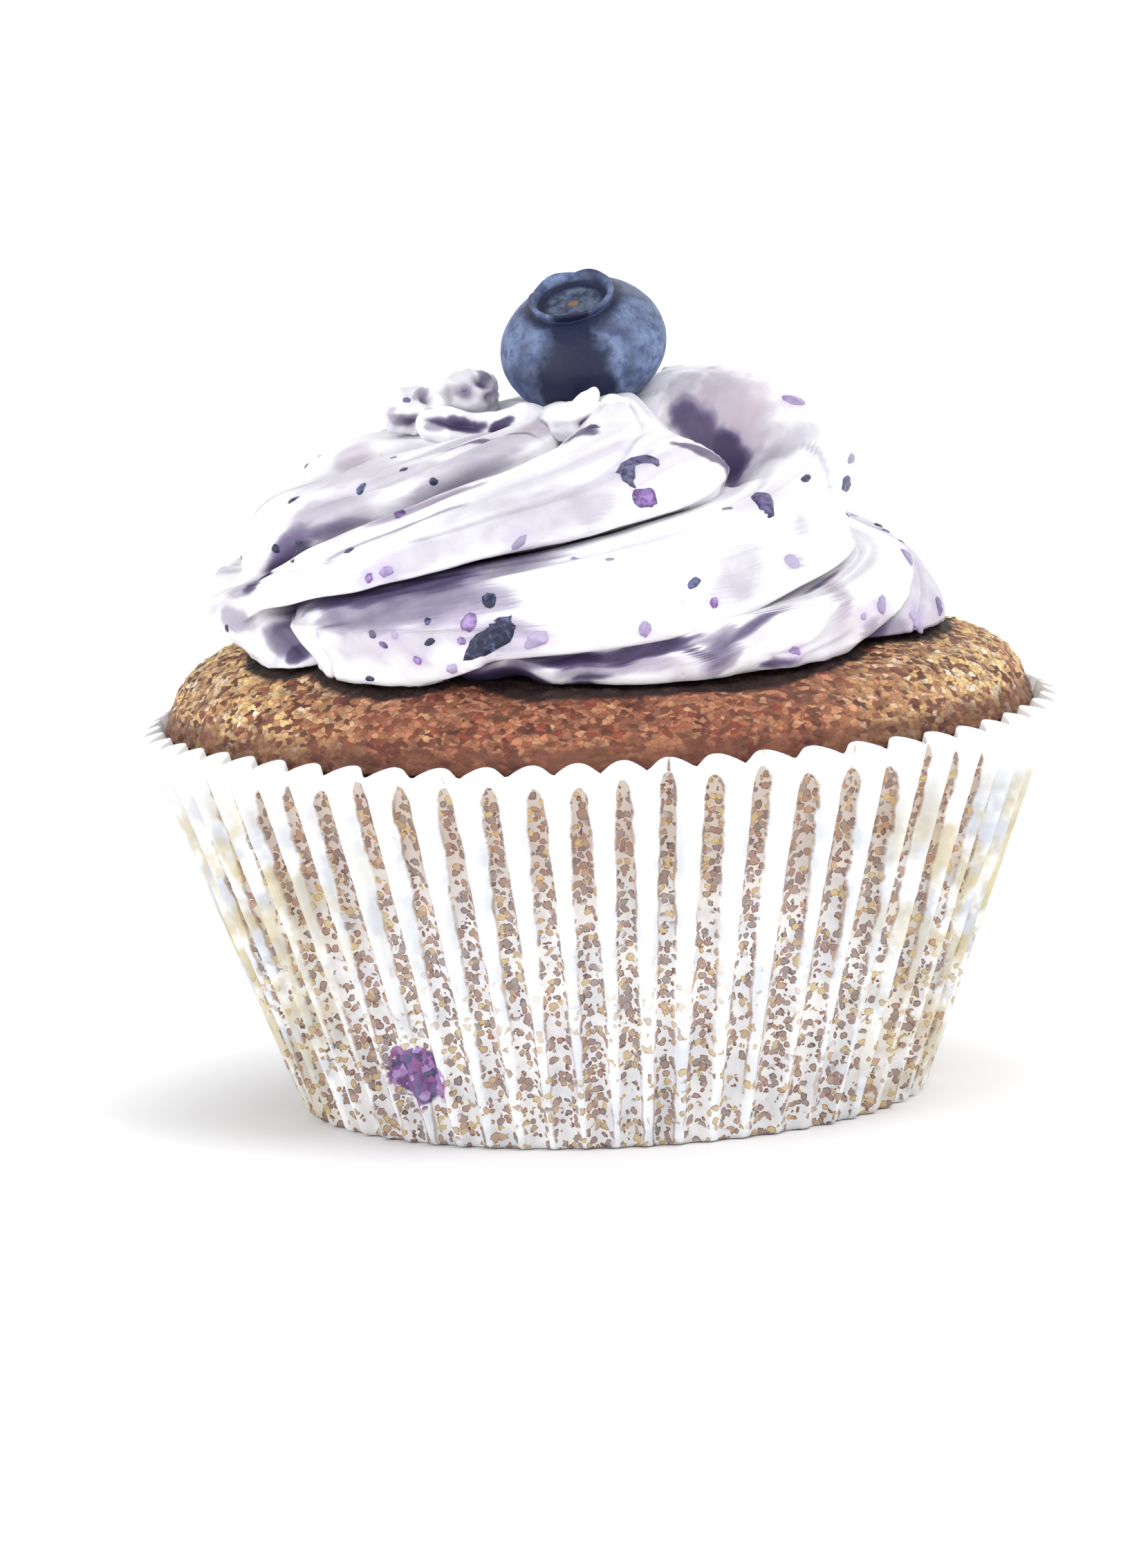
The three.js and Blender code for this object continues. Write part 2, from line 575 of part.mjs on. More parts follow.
// a ring of the berry about its own axis, grown by a clearance: an oblate body up to the crown,
// then the crown's pointed rim and the sunken disc inside it
function makeBerry(clearance) {
  const turns = evenTurns(BERRY_COLUMNS);
  const radius = BERRY_R + clearance;
  const half = BERRY_HALF_HEIGHT + clearance;
  const crownAngle = Math.asin(CROWN_R / BERRY_R);
  const shoulder = half * Math.cos(crownAngle);
  const local = [];
  for (let i = 1; i <= BERRY_ROWS; i += 1) {
    const angle = Math.PI - ((Math.PI - crownAngle) * i) / BERRY_ROWS;
    local.push(turns.map((a) => polar(radius * Math.sin(angle), a, half * Math.cos(angle))));
  }
  const points = (a) => 0.3 * Math.cos(CROWN_POINTS * a);
  local.push(turns.map((a) => polar(CROWN_R + 0.1 + points(a) / 2, a, shoulder + CROWN_RISE + points(a) / 2)));
  local.push(turns.map((a) => polar(CROWN_R - 0.7, a, shoulder + CROWN_RISE - 0.1)));
  local.push(turns.map((a) => polar(CROWN_R - 1.1, a, shoulder + CROWN_RISE - CROWN_DEPTH)));
  const geometry = skin(
    new THREE.Vector3(0, 0, -half),
    local,
    new THREE.Vector3(0, 0, shoulder + CROWN_RISE - CROWN_DEPTH + 0.2),
  );
  const stand = new THREE.Quaternion().setFromUnitVectors(new THREE.Vector3(0, 0, 1), BERRY_AXIS);
  geometry.applyQuaternion(stand);
  geometry.translate(BERRY_CENTRE.x, BERRY_CENTRE.y, BERRY_CENTRE.z);
  return geometry;
}

function makeCream() {
  let cream = toSolid(makeSwirl());
  for (const addition of [...DABS.map(makeDab), ...CURLS.map(makeCurl), ...makeFlecks()]) {
    cream = cream.add(toSolid(addition));
  }
  // a fleck that only grazes the cream falls away: the cream is the largest body
  const bodies = cream.subtract(toSolid(makeBerry(GAP))).decompose();
  bodies.sort((a, b) => b.volume() - a.volume());
  return toGeometry(bodies[0].simplify(CLEANING));
}

// ---- the muffin ----

function piece(name, geometry, colour, roughness) {
  const material = new THREE.MeshStandardMaterial({ color: colour, roughness, metalness: 0 });
  const mesh = new THREE.Mesh(geometry, material);
  mesh.name = name;
  return mesh;
}

const group = new THREE.Group();
group.add(piece('paper_case', makeCase(), 0xf2efe8, 0.8));
group.add(piece('muffin', makeCake(), 0x9c5a34, 0.85));
group.add(piece('frosting', makeCream(), 0xece6f2, 0.5));
group.add(piece('blueberry', makeBerry(0), 0x3a4a70, 0.55));

export default group;
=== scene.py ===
"""A blueberry muffin in a fluted paper case, with a piped swirl of berry cream and one blueberry.

Laid out as a Blender add-on and run as a script. Shapes are worked out in millimetres, in the frame
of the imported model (+Z up, -Y the front), and written to the meshes in metres. An azimuth is counted
in degrees from the front, growing towards +X.
"""
import math

import bpy
import numpy as np
from bpy.props import FloatProperty, FloatVectorProperty, IntProperty, PointerProperty
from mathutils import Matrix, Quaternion, Vector
from mathutils.bvhtree import BVHTree


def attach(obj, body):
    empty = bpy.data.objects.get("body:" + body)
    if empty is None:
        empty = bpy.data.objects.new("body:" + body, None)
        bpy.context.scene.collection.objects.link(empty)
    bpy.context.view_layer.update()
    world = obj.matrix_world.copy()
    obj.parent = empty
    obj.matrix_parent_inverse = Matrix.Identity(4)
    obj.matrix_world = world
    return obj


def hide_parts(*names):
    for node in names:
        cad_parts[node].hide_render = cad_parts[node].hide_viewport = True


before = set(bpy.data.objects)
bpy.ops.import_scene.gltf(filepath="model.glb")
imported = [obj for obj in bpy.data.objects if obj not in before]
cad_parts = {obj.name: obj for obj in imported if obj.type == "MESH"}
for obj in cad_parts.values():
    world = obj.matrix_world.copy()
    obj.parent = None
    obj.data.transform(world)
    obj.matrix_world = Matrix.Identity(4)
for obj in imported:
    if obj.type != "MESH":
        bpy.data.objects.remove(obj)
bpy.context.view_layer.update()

bl_info = {
    "name": "Blueberry muffin",
    "version": (1, 0, 0),
    "blender": (4, 5, 0),
    "location": "3D View > Sidebar > Muffin",
    "description": "Builds a blueberry muffin in a fluted paper case",
    "category": "Object",
}

MM = 0.001
FULL_TURN = 2 * math.pi

# ---- form of the pieces, in millimetres, as in the solids ----

CASE_TURN_HEIGHT = 1.2         # the base turns up into the wall over this height
FLUTE_DEPTH_RIM = 0.8          # half the depth of the flutes at the rim
FLUTE_DEPTH_BASE = 0.5
PAPER = 0.16                   # thickness of the paper
RIM_SCALLOP = 0.4
RIM_WAVE = 0.35
CASE_WALL_MEAN = 36.8          # mean radius of the rim

CAKE_R = 35.5                  # widest radius of the cake, just inside the rim
CRUST_EDGE_Z = 31.2
CRUST_RISE = 6.9
CRUST_SIDE_RISE = 1.2
CRUST_LEAN = 0.5               # higher on the left than on the right
CRUST_POWER = 6.5
CRUST_ROLL = 0.55
CRUST_INNER_R = 25.0           # where the shown crust ends, under the edge of the cream
CRUST_UNDER_CREAM = 0.1        # how far the crust is lowered where the cream lies on it
# height and radius up the side of the cake, inside the case
CAKE_SIDE = ((0.7, 22.8), (2.2, 24.4), (24.0, 32.6), (29.0, 34.4), (30.4, 34.95))

CREAM_Z = 38.6                 # widest level of the dome
CREAM_POWER = 2.3
CREST_LEVEL = 0.8
CREST_ANGLE = math.radians(78)
SEAT_DEPTH = 1.2
FOOT_LEVEL = -0.06
FOOT_RADIUS = 4.0
FOOT_DROP = 2.2
FOOT_LIFT = 0.45               # how far the edge of the foot stands off the crust
CREAM_CLEAR = 0.02             # between the cream and the crust below it
LEVEL_ARC = 45.0

# the creases between the rolls, as (level, azimuth) from the foot to the middle of the seat
FRONT_CREASES = (
    ((0, -112), (0.06, -101), (0.11, -88), (0.16, -73), (0.22, -60), (0.3, -52), (0.38, -44),
     (0.43, -36), (0.46, -30), (0.51, -23), (0.6, -13), (1, -6)),
    ((0, -50), (0.05, -57), (0.11, -61), (0.15, -57), (0.174, -49), (0.2, -41), (0.217, -33),
     (0.234, -25), (0.258, -13), (0.32, 11), (0.4, 35), (0.47, 41), (0.6, 40), (1, 42)),
    ((0, -22), (0.022, -13), (0.078, -6.5), (0.088, 12), (0.108, 33), (0.165, 53), (0.23, 70),
     (0.32, 88), (0.4, 105), (0.5, 120), (0.6, 130), (1, 140)),
)
BACK_CLIMB = ((0, 0), (0.05, 7), (0.12, 19), (0.18, 35), (0.24, 49), (0.32, 65), (0.4, 79),
              (0.5, 95), (0.6, 108), (1, 130))
BACK_CREASES = ((56, 1.1), (103, 0.96), (152, 0.93), (203, 0.73))    # start, climb
ROLLS = len(FRONT_CREASES) + len(BACK_CREASES)

# how the rolls change with the level: (level, value)
ROLL_HEIGHT = ((-0.06, 2), (0, 3.6), (0.1, 5), (0.3, 4.6), (0.5, 4), (0.7, 3.4), (0.85, 2.4), (1, 0))
ROLL_LIP = ((-0.06, 0), (0, 0.4), (0.08, 1.4), (0.3, 1.3), (0.5, 0.9), (0.8, 0.3), (1, 0))
ROLL_LEAN = ((-0.06, -1.6), (0, -2), (0.2, -3.2), (0.34, -2.9), (0.57, -1), (0.8, 0), (1, -0.2))
ROLL_TILT = ((0, 0), (0.25, 0), (0.6, 0.1), (0.8, 0.12), (1, 0))
ROLL_SKEW = 1.6
ROLL_ROUNDNESS = 2.6
ROLL_CENTRE = 0.62
USUAL_ROLL = 51.4

# places where the cream swells or sinks: azimuth, level, half widths, height
SWELLS = (
    (-90, 0.19, 26, 0.06, -3.6),     # hollow over the tip at the left end
    (-84, -0.01, 20, 0.04, -4.0),    # the tip stands clear of the crust
    (-84, 0.29, 26, 0.07, -2.0),
    (-95, 0.57, 25, 0.08, 1.0),
    (92, 0.265, 34, 0.09, -4.0),     # waist on the right
    (92, 0.0, 20, 0.06, 1.0),
    (-60, 0.75, 40, 0.12, -1.6),     # shelf left of the berry
    (-12, 0.5, 22, 0.12, 1.2),       # smooth middle roll
    (38, 0.66, 16, 0.14, -2.6),      # its end slopes down beside the berry
    (88, 0.4, 26, 0.08, 1.8),        # full right shoulder
)
# the scoop beside the berry, in one roll: roll, u, level, half widths
SCOOP = (1, 0.06, 0.62, 0.22, 0.15)
SCOOP_DEPTH = 4.6
# ridges and grooves along a roll: roll, u, half width, height, and the levels between which each
# comes in and goes out
RIDGES = (
    (0, 0.12, 0.06, 1.1, (0.05, 0.14, 0.42, 0.52)),     # upper edge of the middle roll
    (0, 0.27, 0.035, -0.55, (0.1, 0.16, 0.42, 0.5)),
    (6, 0.965, 0.045, -1.3, (0.13, 0.19, 0.44, 0.5)),   # the roll behind it dips under that edge
    (6, 0.8, 0.02, -0.35, (0.34, 0.4, 0.6, 0.7)),
    (0, 0.62, 0.02, -0.3, (0.34, 0.4, 0.5, 0.6)),
    (2, 0.35, 0.03, -0.4, (0.0, 0.05, 0.14, 0.2)),
    (1, 0.05, 0.07, 1.0, (0.2, 0.27, 0.42, 0.5)),       # shallow crease over the long roll
)
# arches where the foot of the cream stands off the crust: azimuth, half width, height
FOOT_ARCHES = ((-10, 5.5, 1.5), (1, 3.0, 0.9), (28, 4.5, 0.9), (-56, 4.0, 0.5), (52, 6.0, 0.6),
               (105, 7.0, 0.9), (160, 6.0, 1.1), (218, 7.0, 0.8), (262, 5.0, 0.9))

# painted shade, violet and darkest where deepest, in the fold at the top of each roll, and in the one under
# its lip where that is given: strength against level, and width across the roll against level
USUAL_FOLD_SHADE = (((0, 0.5), (0.12, 0.8), (0.25, 0.6), (0.45, 0.35), (1, 0.2)), ((0, 0.08), (0.5, 0.05)))
PAINTED_FOLD_SHADES = {
    0: (((0, 0.2), (0.15, 0.25), (0.4, 0.3), (0.5, 0.3), (1, 0.2)), ((0, 0.03), (1, 0.03))),
    1: (((0, 0.3), (0.09, 0.6), (0.14, 0.9), (0.18, 1.25), (0.24, 0.8), (0.29, 0.4), (0.36, 0.25), (1, 0.2)),
        ((0, 0.05), (0.12, 0.1), (0.18, 0.17), (0.24, 0.14), (0.3, 0.06), (0.4, 0.03))),
    2: (((0, 1.0), (0.08, 0.95), (0.12, 0.8), (0.18, 0.5), (0.24, 0.35), (1, 0.2)),
        ((0, 0.1), (0.09, 0.09), (0.2, 0.05))),
    3: (((0, 1.4), (0.12, 1.2), (0.2, 0.5), (1, 0.2)), ((0, 0.12), (0.2, 0.05))),
}
PAINTED_LIP_SHADES = {6: (((0.1, 0.2), (0.16, 0.9), (0.34, 1.1), (0.42, 0.6), (0.5, 0.35), (1, 0.2)),
                 ((0, 0.05), (0.3, 0.05), (0.5, 0.03)))}

# thin grey-lilac wash over all of a roll, partly a lilac tint of the cream and partly painted shade
USUAL_WASH = 0.45
ROLL_WASHES = {0: 0.3, 1: 0.2, 2: 0.3, 6: 0.45}

# patches of painted shade, with some rosy tints, that the front shows: across and up from the middle of the
# picture, half length, half width, turn, and how much each adds to the grey-lilac wash, which is partly
# painted shade, to the painted dark shade in the folds, and to the rosy tint
PAINTED_SHADES_AND_TINTS = (
    # the upper left roll
    (-18, 25.5, 7.5, 3.4, 15, 0.35, 0, 0.2), (-18, 26.7, 2.6, 1.3, 20, 0.3, 0, 0.5),
    (-20, 22.2, 5.5, 2.2, 15, 0.55, 0, 0.1), (-22.8, 19.0, 3.4, 1.4, 38, 1, 0.55, 0.1),
    (-23.4, 18.0, 2.6, 0.8, 38, 1, 0.85, 0), (-24.9, 17.0, 1.6, 0.9, 35, 1, 0.75, 0),
    (-19.3, 20.9, 3.4, 0.7, 15, 0.9, 0.4, 0.2), (-14, 25.2, 6.0, 1.6, 20, 0.4, 0, 0.1),
    (-9.5, 24.9, 5.0, 1.3, 28, 0.55, 0, 0.15), (-11.5, 22.9, 6.5, 0.45, 24, 0.9, 0.1, 0.5),
    (-5.5, 26.9, 3.2, 0.6, 15, 0.5, 0, 0), (-27, 15.9, 2.8, 0.8, 15, 0.6, 0, 0.2),
    (-27.5, 13.5, 2.6, 1.2, -10, 0.65, 0, 0.2), (-14, 20.8, 7.0, 0.3, 27, 0.75, 0, 0),
    # the middle roll
    (-3.5, 21.9, 8.0, 3.0, 12, 0.42, 0, 0), (-13, 18.3, 8.0, 1.5, 18, 0.42, 0, 0),
    (2, 22.6, 3.0, 1.6, 30, 0.45, 0, 0), (8, 29.3, 2.6, 1.4, -40, 0.25, 0, 0.1),
    # its end beside the scoop
    (11.4, 26.9, 2.8, 1.1, -45, 1, 0.8, 0.1), (9.9, 29.2, 2.2, 0.8, -50, 0.9, 0.4, 0.2),
    # under its lip
    (-17.5, 15.3, 6.0, 1.2, 5, 1, 0.85, 0.1), (-11.5, 16.4, 5.0, 1.2, 14, 1, 0.8, 0.1),
    (-13, 14.9, 9.5, 2.4, 8, 1, 0.22, 0), (-17, 13.9, 5.5, 1.8, 0, 0.95, 0.1, 0),
    (-5.5, 17.6, 5.0, 1.1, 14, 0.9, 0.2, 0),
    # the long roll below
    (-15, 12.0, 8.0, 3.0, 5, 0.35, 0, 0.15), (-23.4, 11.6, 1.9, 1.2, -35, 1, 0.4, 0.2),
    (-22.4, 10.7, 1.2, 0.9, 10, 1, 0.8, 0), (-5.5, 11.9, 3.0, 1.9, 35, 0.6, 0, 0),
    (14, 17.2, 4.2, 2.6, 35, 0.42, 0, 0), (19, 21.2, 1.9, 1.4, 60, 0.35, 0, 0),
    (18.4, 18.2, 0.9, 0.8, 0, 0.5, 0, 0), (17.5, 27.5, 3.5, 2.4, 70, 0.42, 0, 0),
    (20.6, 26.5, 5.0, 0.6, 95, 0.45, 0, 0), (9.2, 14.7, 0.9, 0.7, 0, 0.35, 0, 0),
    # the scoop
    (12.6, 30.0, 6.4, 4.6, -60, 0.5, 0.0, 0.55), (10.6, 28.9, 4.6, 1.6, -50, 0.9, 0.6, 0.1),
    (13.2, 26.6, 3.0, 1.7, -50, 1, 0.95, 0), (9.8, 30.6, 3.4, 1.4, -65, 0.7, 0.25, 0),
    (14.6, 30.6, 4.0, 2.0, 80, 0.3, 0, 0.9), (15.4, 28.0, 2.6, 1.2, 60, 0.25, 0, 0.5),
    (9.2, 32.6, 3.0, 1.6, 80, 0.5, 0.08, 0),
    # under the long roll
    (0.6, 10.1, 3.6, 0.75, 5, 1, 0.9, 0), (6.2, 10.95, 4.0, 0.8, 10, 1, 0.9, 0),
    (3.5, 9.6, 5.0, 1.1, 6, 0.7, 0.1, 0), (-3.5, 10.0, 2.2, 0.6, 10, 0.9, 0.3, 0.1),
    (7, 9.8, 3.2, 0.8, 3, 0.5, 0, 0.4), (0, 10.0, 3.0, 0.6, 5, 0.35, 0, 0.1),
    (12.6, 11.2, 2.4, 1.3, 55, 1, 0.28, 0), (10.9, 10.4, 2.4, 0.3, -30, 1, 0.5, 0),
    (15.0, 12.9, 4.8, 0.4, 26, 1, 0.5, 0), (20.6, 16.4, 3.4, 0.35, 38, 1, 0.4, 0),
    (22.2, 15.5, 3.6, 1.4, 75, 0.5, 0, 0.55), (24.6, 12.6, 1.8, 0.9, 40, 0.7, 0.1, 0),
    (27.0, 12.3, 2.2, 1.2, 45, 0.8, 0.25, 0.1), (17.0, 9.9, 2.2, 0.4, 0, 1, 0.6, 0),
    (1.6, 8.8, 1.7, 0.35, 0, 1, 0.5, 0),
    # the scraps round the berry
    (-12.2, 31.9, 1.0, 0.6, 30, 0.9, 0.12, 0), (-13.0, 29.9, 2.0, 0.7, 5, 0.9, 0.12, 0),
    (-14.6, 30.4, 0.8, 0.5, 60, 0.4, 0, 0.4), (-8.8, 32.3, 1.0, 0.8, 0, 0.5, 0, 0.3),
    (-6.3, 32.3, 0.6, 1.0, 0, 0.5, 0, 0.35), (-7.0, 33.6, 1.1, 0.6, 120, 0.95, 0.18, 0),
    (-8.9, 29.1, 2.1, 0.65, -10, 1, 0.9, 0), (-5.6, 29.3, 1.4, 0.4, 40, 1, 0.85, 0),
    (-11.2, 29.2, 1.2, 0.5, 0, 0.8, 0, 0), (-7.0, 28.0, 4.5, 0.3, -3, 1, 0.4, 0),
    (-3.2, 29.0, 1.8, 0.7, 10, 0.5, 0, 0.55), (0.8, 28.7, 2.2, 0.9, 5, 1, 0.5, 0.1),
    (1.7, 29.2, 0.9, 0.6, 0, 1, 0.7, 0),
)
# a stain here is one of the patches of painted shade and tint above
PATCH_REACH = 1.0              # the surface's direction is the mean over this far round a stain

# dabs of cream round the berry: middle, half sizes along x, y and z, turn about z, seed, and the hollows in
# each: azimuth and height in degrees, half width in radians, depth, and the strength of the painted shade in
# it
DABS = (
    ((-14.2, -1.8, 56.9), (2.35, 2.2, 1.95), 10, 3,
     ((-20, -28, 0.55, 0.28, 0.55), (38, 38, 0.42, 0.22, 0.45), (-45, 25, 0.3, 0.12, 0.1))),
    ((-9.5, 1.6, 57.7), (2.75, 2.3, 2.15), -8, 5,
     ((-32, 8, 0.32, 0.16, 0.2), (2, 6, 0.3, 0.2, 0.25), (36, 34, 0.36, 0.24, 0.5),
      (40, 0, 0.25, 0.1, 0.12))),
    ((-0.8, -9.9, 56.4), (2.7, 2.1, 1.75), 6, 7,
     ((22, -4, 0.62, 0.34, 0.85), (-48, 30, 0.3, 0.1, 0.1))),
    ((2.3, -8.8, 56.8), (1.5, 1.5, 1.55), 0, 9, ((6, 14, 0.5, 0.2, 0.35),)),
    ((8.3, 5.2, 57.6), (2.3, 2.1, 1.7), 20, 11, ((0, 20, 0.5, 0.15, 0.15),)),
)
# the folded ribbon and the small peak: points, radius, taper, turn of the groove, depth, half width,
# ends of the groove, seed
CURLS = (
    (((-13.6, -4.6, 56.5), (-12.0, -6.8, 56.2), (-9.6, -8.2, 55.9), (-7.4, -8.7, 56.0),
      (-5.0, -8.8, 56.4), (-2.2, -8.6, 56.2)), 1.5, 3.5, 2.75, 0.5, 0.5, (0.1, 0.62), 13),
    (((-2.2, -9.6, 57.0), (-0.7, -9.8, 57.7), (0.3, -9.4, 58.3), (0.7, -8.9, 59.0)), 0.75, 1.2,
     2.6, 0.0, 0.4, (0.2, 0.8), 15),
)

# bits of berry skin where the front shows them: across and up from the middle of the picture, length,
# width, turn, and how violet and how pale each is
FRONT_BITS = (
    (-6.4, 11.9, 5.2, 2.3, 36, 0, 0), (-8.2, 13.2, 1.5, 1.2, 60, 0.8, 0.2),
    (-8.8, 11.7, 0.7, 0.6, 0, 0.8, 0.2), (-2.6, 11.8, 2.0, 1.3, 30, 0.9, 0.7),
    (-9.6, 9.4, 0.9, 0.9, 0, 0.9, 0.7), (-6.6, 15.0, 1.2, 1.2, 0, 0, 0), (-11.6, 13.3, 0.6, 0.6, 0, 0, 0),
    (-11.4, 11.6, 0.9, 0.6, 20, 0, 0), (-12.4, 10.1, 0.8, 0.7, 60, 1, 0.1),
    (-16.1, 12.2, 0.7, 0.7, 0, 0, 0.2), (-15.2, 11.4, 0.9, 0.6, -15, 0.4, 0),
    (-14.3, 12.1, 0.7, 0.6, 0, 1, 0.6), (-16.3, 8.6, 1.0, 0.5, 0, 0, 0),
    (-16.4, 16.8, 0.8, 0.7, 20, 1, 0.1), (-15.0, 17.4, 1.1, 0.8, 20, 1, 0.3),
    (-18.0, 19.1, 0.9, 0.6, 10, 0, 0.1), (-13.9, 22.1, 1.0, 0.8, 20, 0.5, 0),
    (-24.0, 19.2, 0.9, 0.8, 0, 0, 0), (-22.1, 19.7, 0.6, 0.6, 0, 0, 0), (-22.6, 23.2, 1.1, 0.8, 70, 0, 0),
    (-17.0, 24.2, 1.2, 0.7, 80, 0, 0), (-14.4, 26.7, 0.7, 0.5, 40, 0, 0.3),
    (-13.5, 25.7, 0.9, 0.6, 0, 0, 0), (-11.1, 24.7, 0.7, 0.6, -40, 0, 0),
    (-27.9, 18.5, 0.5, 0.4, 0, 0, 0), (-28.0, 12.7, 0.8, 0.6, -20, 0, 0),
    (-4.1, 19.7, 1.5, 0.7, 35, 0, 0.5), (6.3, 23.4, 2.0, 1.8, 0, 0.75, 0),
    (15.9, 23.2, 3.7, 1.6, 85, 0.2, 0), (12.9, 22.5, 0.9, 0.6, 10, 0, 0.3),
    (19.3, 25.0, 1.2, 0.6, 25, 0, 0), (18.3, 31.4, 1.8, 1.2, -25, 0.6, 0.4),
    (23.0, 26.6, 1.8, 0.8, 0, 0.3, 0.5), (22.6, 24.5, 2.6, 1.3, 0, 0, 0),
    (10.2, 16.4, 1.3, 0.8, 25, 0, 0), (11.8, 14.8, 0.9, 0.7, 80, 1, 0.1),
    (6.2, 12.6, 1.3, 1.0, 80, 0.9, 0.5), (18.4, 10.9, 1.1, 0.7, -20, 1, 0.3),
    (24.0, 13.7, 0.8, 0.6, 0, 0.9, 0.6), (25.5, 14.7, 1.6, 1.4, 60, 0.6, 0.5),
    (27.6, 18.6, 2.2, 1.4, 20, 0.4, 0.4), (30.2, 14.6, 1.9, 1.1, 40, 0.5, 0.1),
    (28.2, 13.2, 2.0, 1.1, -60, 1, 0.7), (18.2, 18.2, 1.4, 1.2, 0, 0.3, 0.7),
    (0.5, 18.4, 0.8, 0.3, 0, 0, 0.5), (3.3, 18.4, 0.8, 0.3, 0, 0, 0.5), (-13.3, 31.4, 0.6, 0.5, 0, 0, 0),
    (-8.6, 32.2, 0.5, 0.5, 0, 0.2, 0.4),
)
# the curved strip of skin near the berry, and the radius that it bends to
CURVED_BIT = (4.75, 26.0, 5.3, 1.5, 35, 0.1, 0.05)
CURVED_BIT_RADIUS = 1.5
BIT_REACH = 2.5                # millimetres above and below a bit in which it finds the cream

# where berry juice has come through the paper: azimuth, height and radius
JUICE_SPOT = (-35.5, 6.0, 2.7)

CROWN_R = 3.3                  # radius of the berry's crown
BERRY_AXIS = Vector((-0.17, -0.44, 0.88)).normalized()
BERRY_CENTRE = np.array((-0.1, 0.0, 61.6))
BERRY_HALF_HEIGHT = 5.05

# the camera, fitted to the rim, foot and berry in the picture
CAMERA_DISTANCE = 0.7
CAMERA_ELEVATION = math.radians(8.33)
CAMERA_ROLL = math.radians(2.45)
LOOK_AT = Vector((-0.00275, 0, 0.0257))
PICTURE_HEIGHT = 2268
PICTURE_PIXELS_PER_METRE = 17700
SENSOR = 36.0


# ---- settings that a user would change ----

class MuffinSizes(bpy.types.PropertyGroup):
    """Driving sizes of the muffin."""
    rim_radius: FloatProperty(
        name="Rim radius", description="From the axis to the mean line of the case's fluted rim",
        default=CASE_WALL_MEAN * MM, min=0.02, subtype="DISTANCE", unit="LENGTH")
    base_radius: FloatProperty(
        name="Base radius", description="Where the wall of the case leaves its base",
        default=0.025, min=0.01, subtype="DISTANCE", unit="LENGTH")
    case_height: FloatProperty(
        name="Case height", description="Mean height of the rim above the base",
        default=0.032, min=0.01, subtype="DISTANCE", unit="LENGTH")
    flutes: IntProperty(name="Flutes", description="Flutes round the case", default=60, min=12)
    cream_radius: FloatProperty(
        name="Cream radius", description="Widest radius of the dome of cream under its rolls",
        default=0.0282, min=0.01, subtype="DISTANCE", unit="LENGTH")
    cream_rise: FloatProperty(
        name="Cream rise", description="Rise of the dome of cream above its widest level",
        default=0.0189, min=0.005, subtype="DISTANCE", unit="LENGTH")
    berry_radius: FloatProperty(
        name="Berry radius", description="Radius of the blueberry across its crown's axis",
        default=0.0068, min=0.003, subtype="DISTANCE", unit="LENGTH")
    scattered_bits: IntProperty(
        name="Scattered bits", description="Small bits of skin scattered through the cream",
        default=70, min=0)


def colour(name, description, default):
    """A colour setting."""
    return FloatVectorProperty(
        name=name, description=description, default=default, size=3, min=0, max=1, subtype="COLOR")


class MuffinColours(bpy.types.PropertyGroup):
    """Main colours of the muffin, linear."""
    cream: colour("Cream", "Fresh cream", (0.88, 0.875, 0.895))
    # the lilac also paints shade in the washes over the rolls, and the juice colour paints the shade in the
    # deepest folds of the cream
    lilac: colour("Lilac", "Cream tinted by berry juice", (0.39, 0.37, 0.44))
    juice: colour("Juice", "Berry juice gathered in the folds", (0.045, 0.03, 0.085))
    crust: colour("Crust", "Baked crust", (0.4, 0.185, 0.1))
    paper: colour("Paper", "Clean paper", (0.88, 0.88, 0.875))
    skin: colour("Skin", "Dark skin of the berry", (0.008, 0.013, 0.042))
    bloom: colour("Bloom", "Waxy bloom on the berry", (0.225, 0.295, 0.48))


def sizes():
    """The size settings of this scene."""
    return bpy.context.scene.muffin_sizes


def colours():
    """The colour settings of this scene."""
    return bpy.context.scene.muffin_colours


# ---- arithmetic on whole arrays ----

def smoothstep(low, high, x):
    """0 below low, 1 above high, and 3s^2 - 2s^3 between."""
    s = np.clip((x - low) / (high - low), 0, 1)
    return s * s * (3 - 2 * s)


def graph(x, pairs):
    """Straight-line value at x of a list of (x, value) pairs."""
    return np.interp(x, [p[0] for p in pairs], [p[1] for p in pairs])


def through_points(x, pairs):
    """Smooth curve through (x, y) pairs that never overshoots: cubic pieces with harmonic mean slopes."""
    xs, ys = np.array(pairs, float).T
    h = np.diff(xs)
    slope = np.diff(ys) / h
    tangent = np.concatenate([slope[:1], np.zeros(len(xs) - 2), slope[-1:]])
    w1 = 2 * h[1:] + h[:-1]
    w2 = h[1:] + 2 * h[:-1]
    same = slope[:-1] * slope[1:] > 0
    before = np.where(same, slope[:-1], 1)
    after = np.where(same, slope[1:], 1)
    inner = (w1 + w2) / np.where(same, w1 / before + w2 / after, 1)
    tangent[1:-1] = np.where(same, inner, 0)
    i = np.clip(np.searchsorted(xs, x) - 1, 0, len(h) - 1)
    s = np.clip((x - xs[i]) / h[i], 0, 1)
    return ((1 + 2 * s) * (1 - s) ** 2 * ys[i] + s * (1 - s) ** 2 * h[i] * tangent[i]
            + s * s * (3 - 2 * s) * ys[i + 1] + s * s * (s - 1) * h[i] * tangent[i + 1])


def lattice_random(cell, seed):
    """A repeatable random number from 0 to 1 for each whole-number point (..., 3)."""
    n = (cell[..., 0] * 374761393 + cell[..., 1] * 668265263 + cell[..., 2] * 1440662683
         + seed * 1274126177) & 0xFFFFFFFF
    n = ((n ^ (n >> 13)) * 1103515245) & 0xFFFFFFFF
    n = ((n ^ (n >> 15)) * 668265263) & 0xFFFFFFFF
    return ((n ^ (n >> 16)) & 0xFFFFFF) / 0xFFFFFF


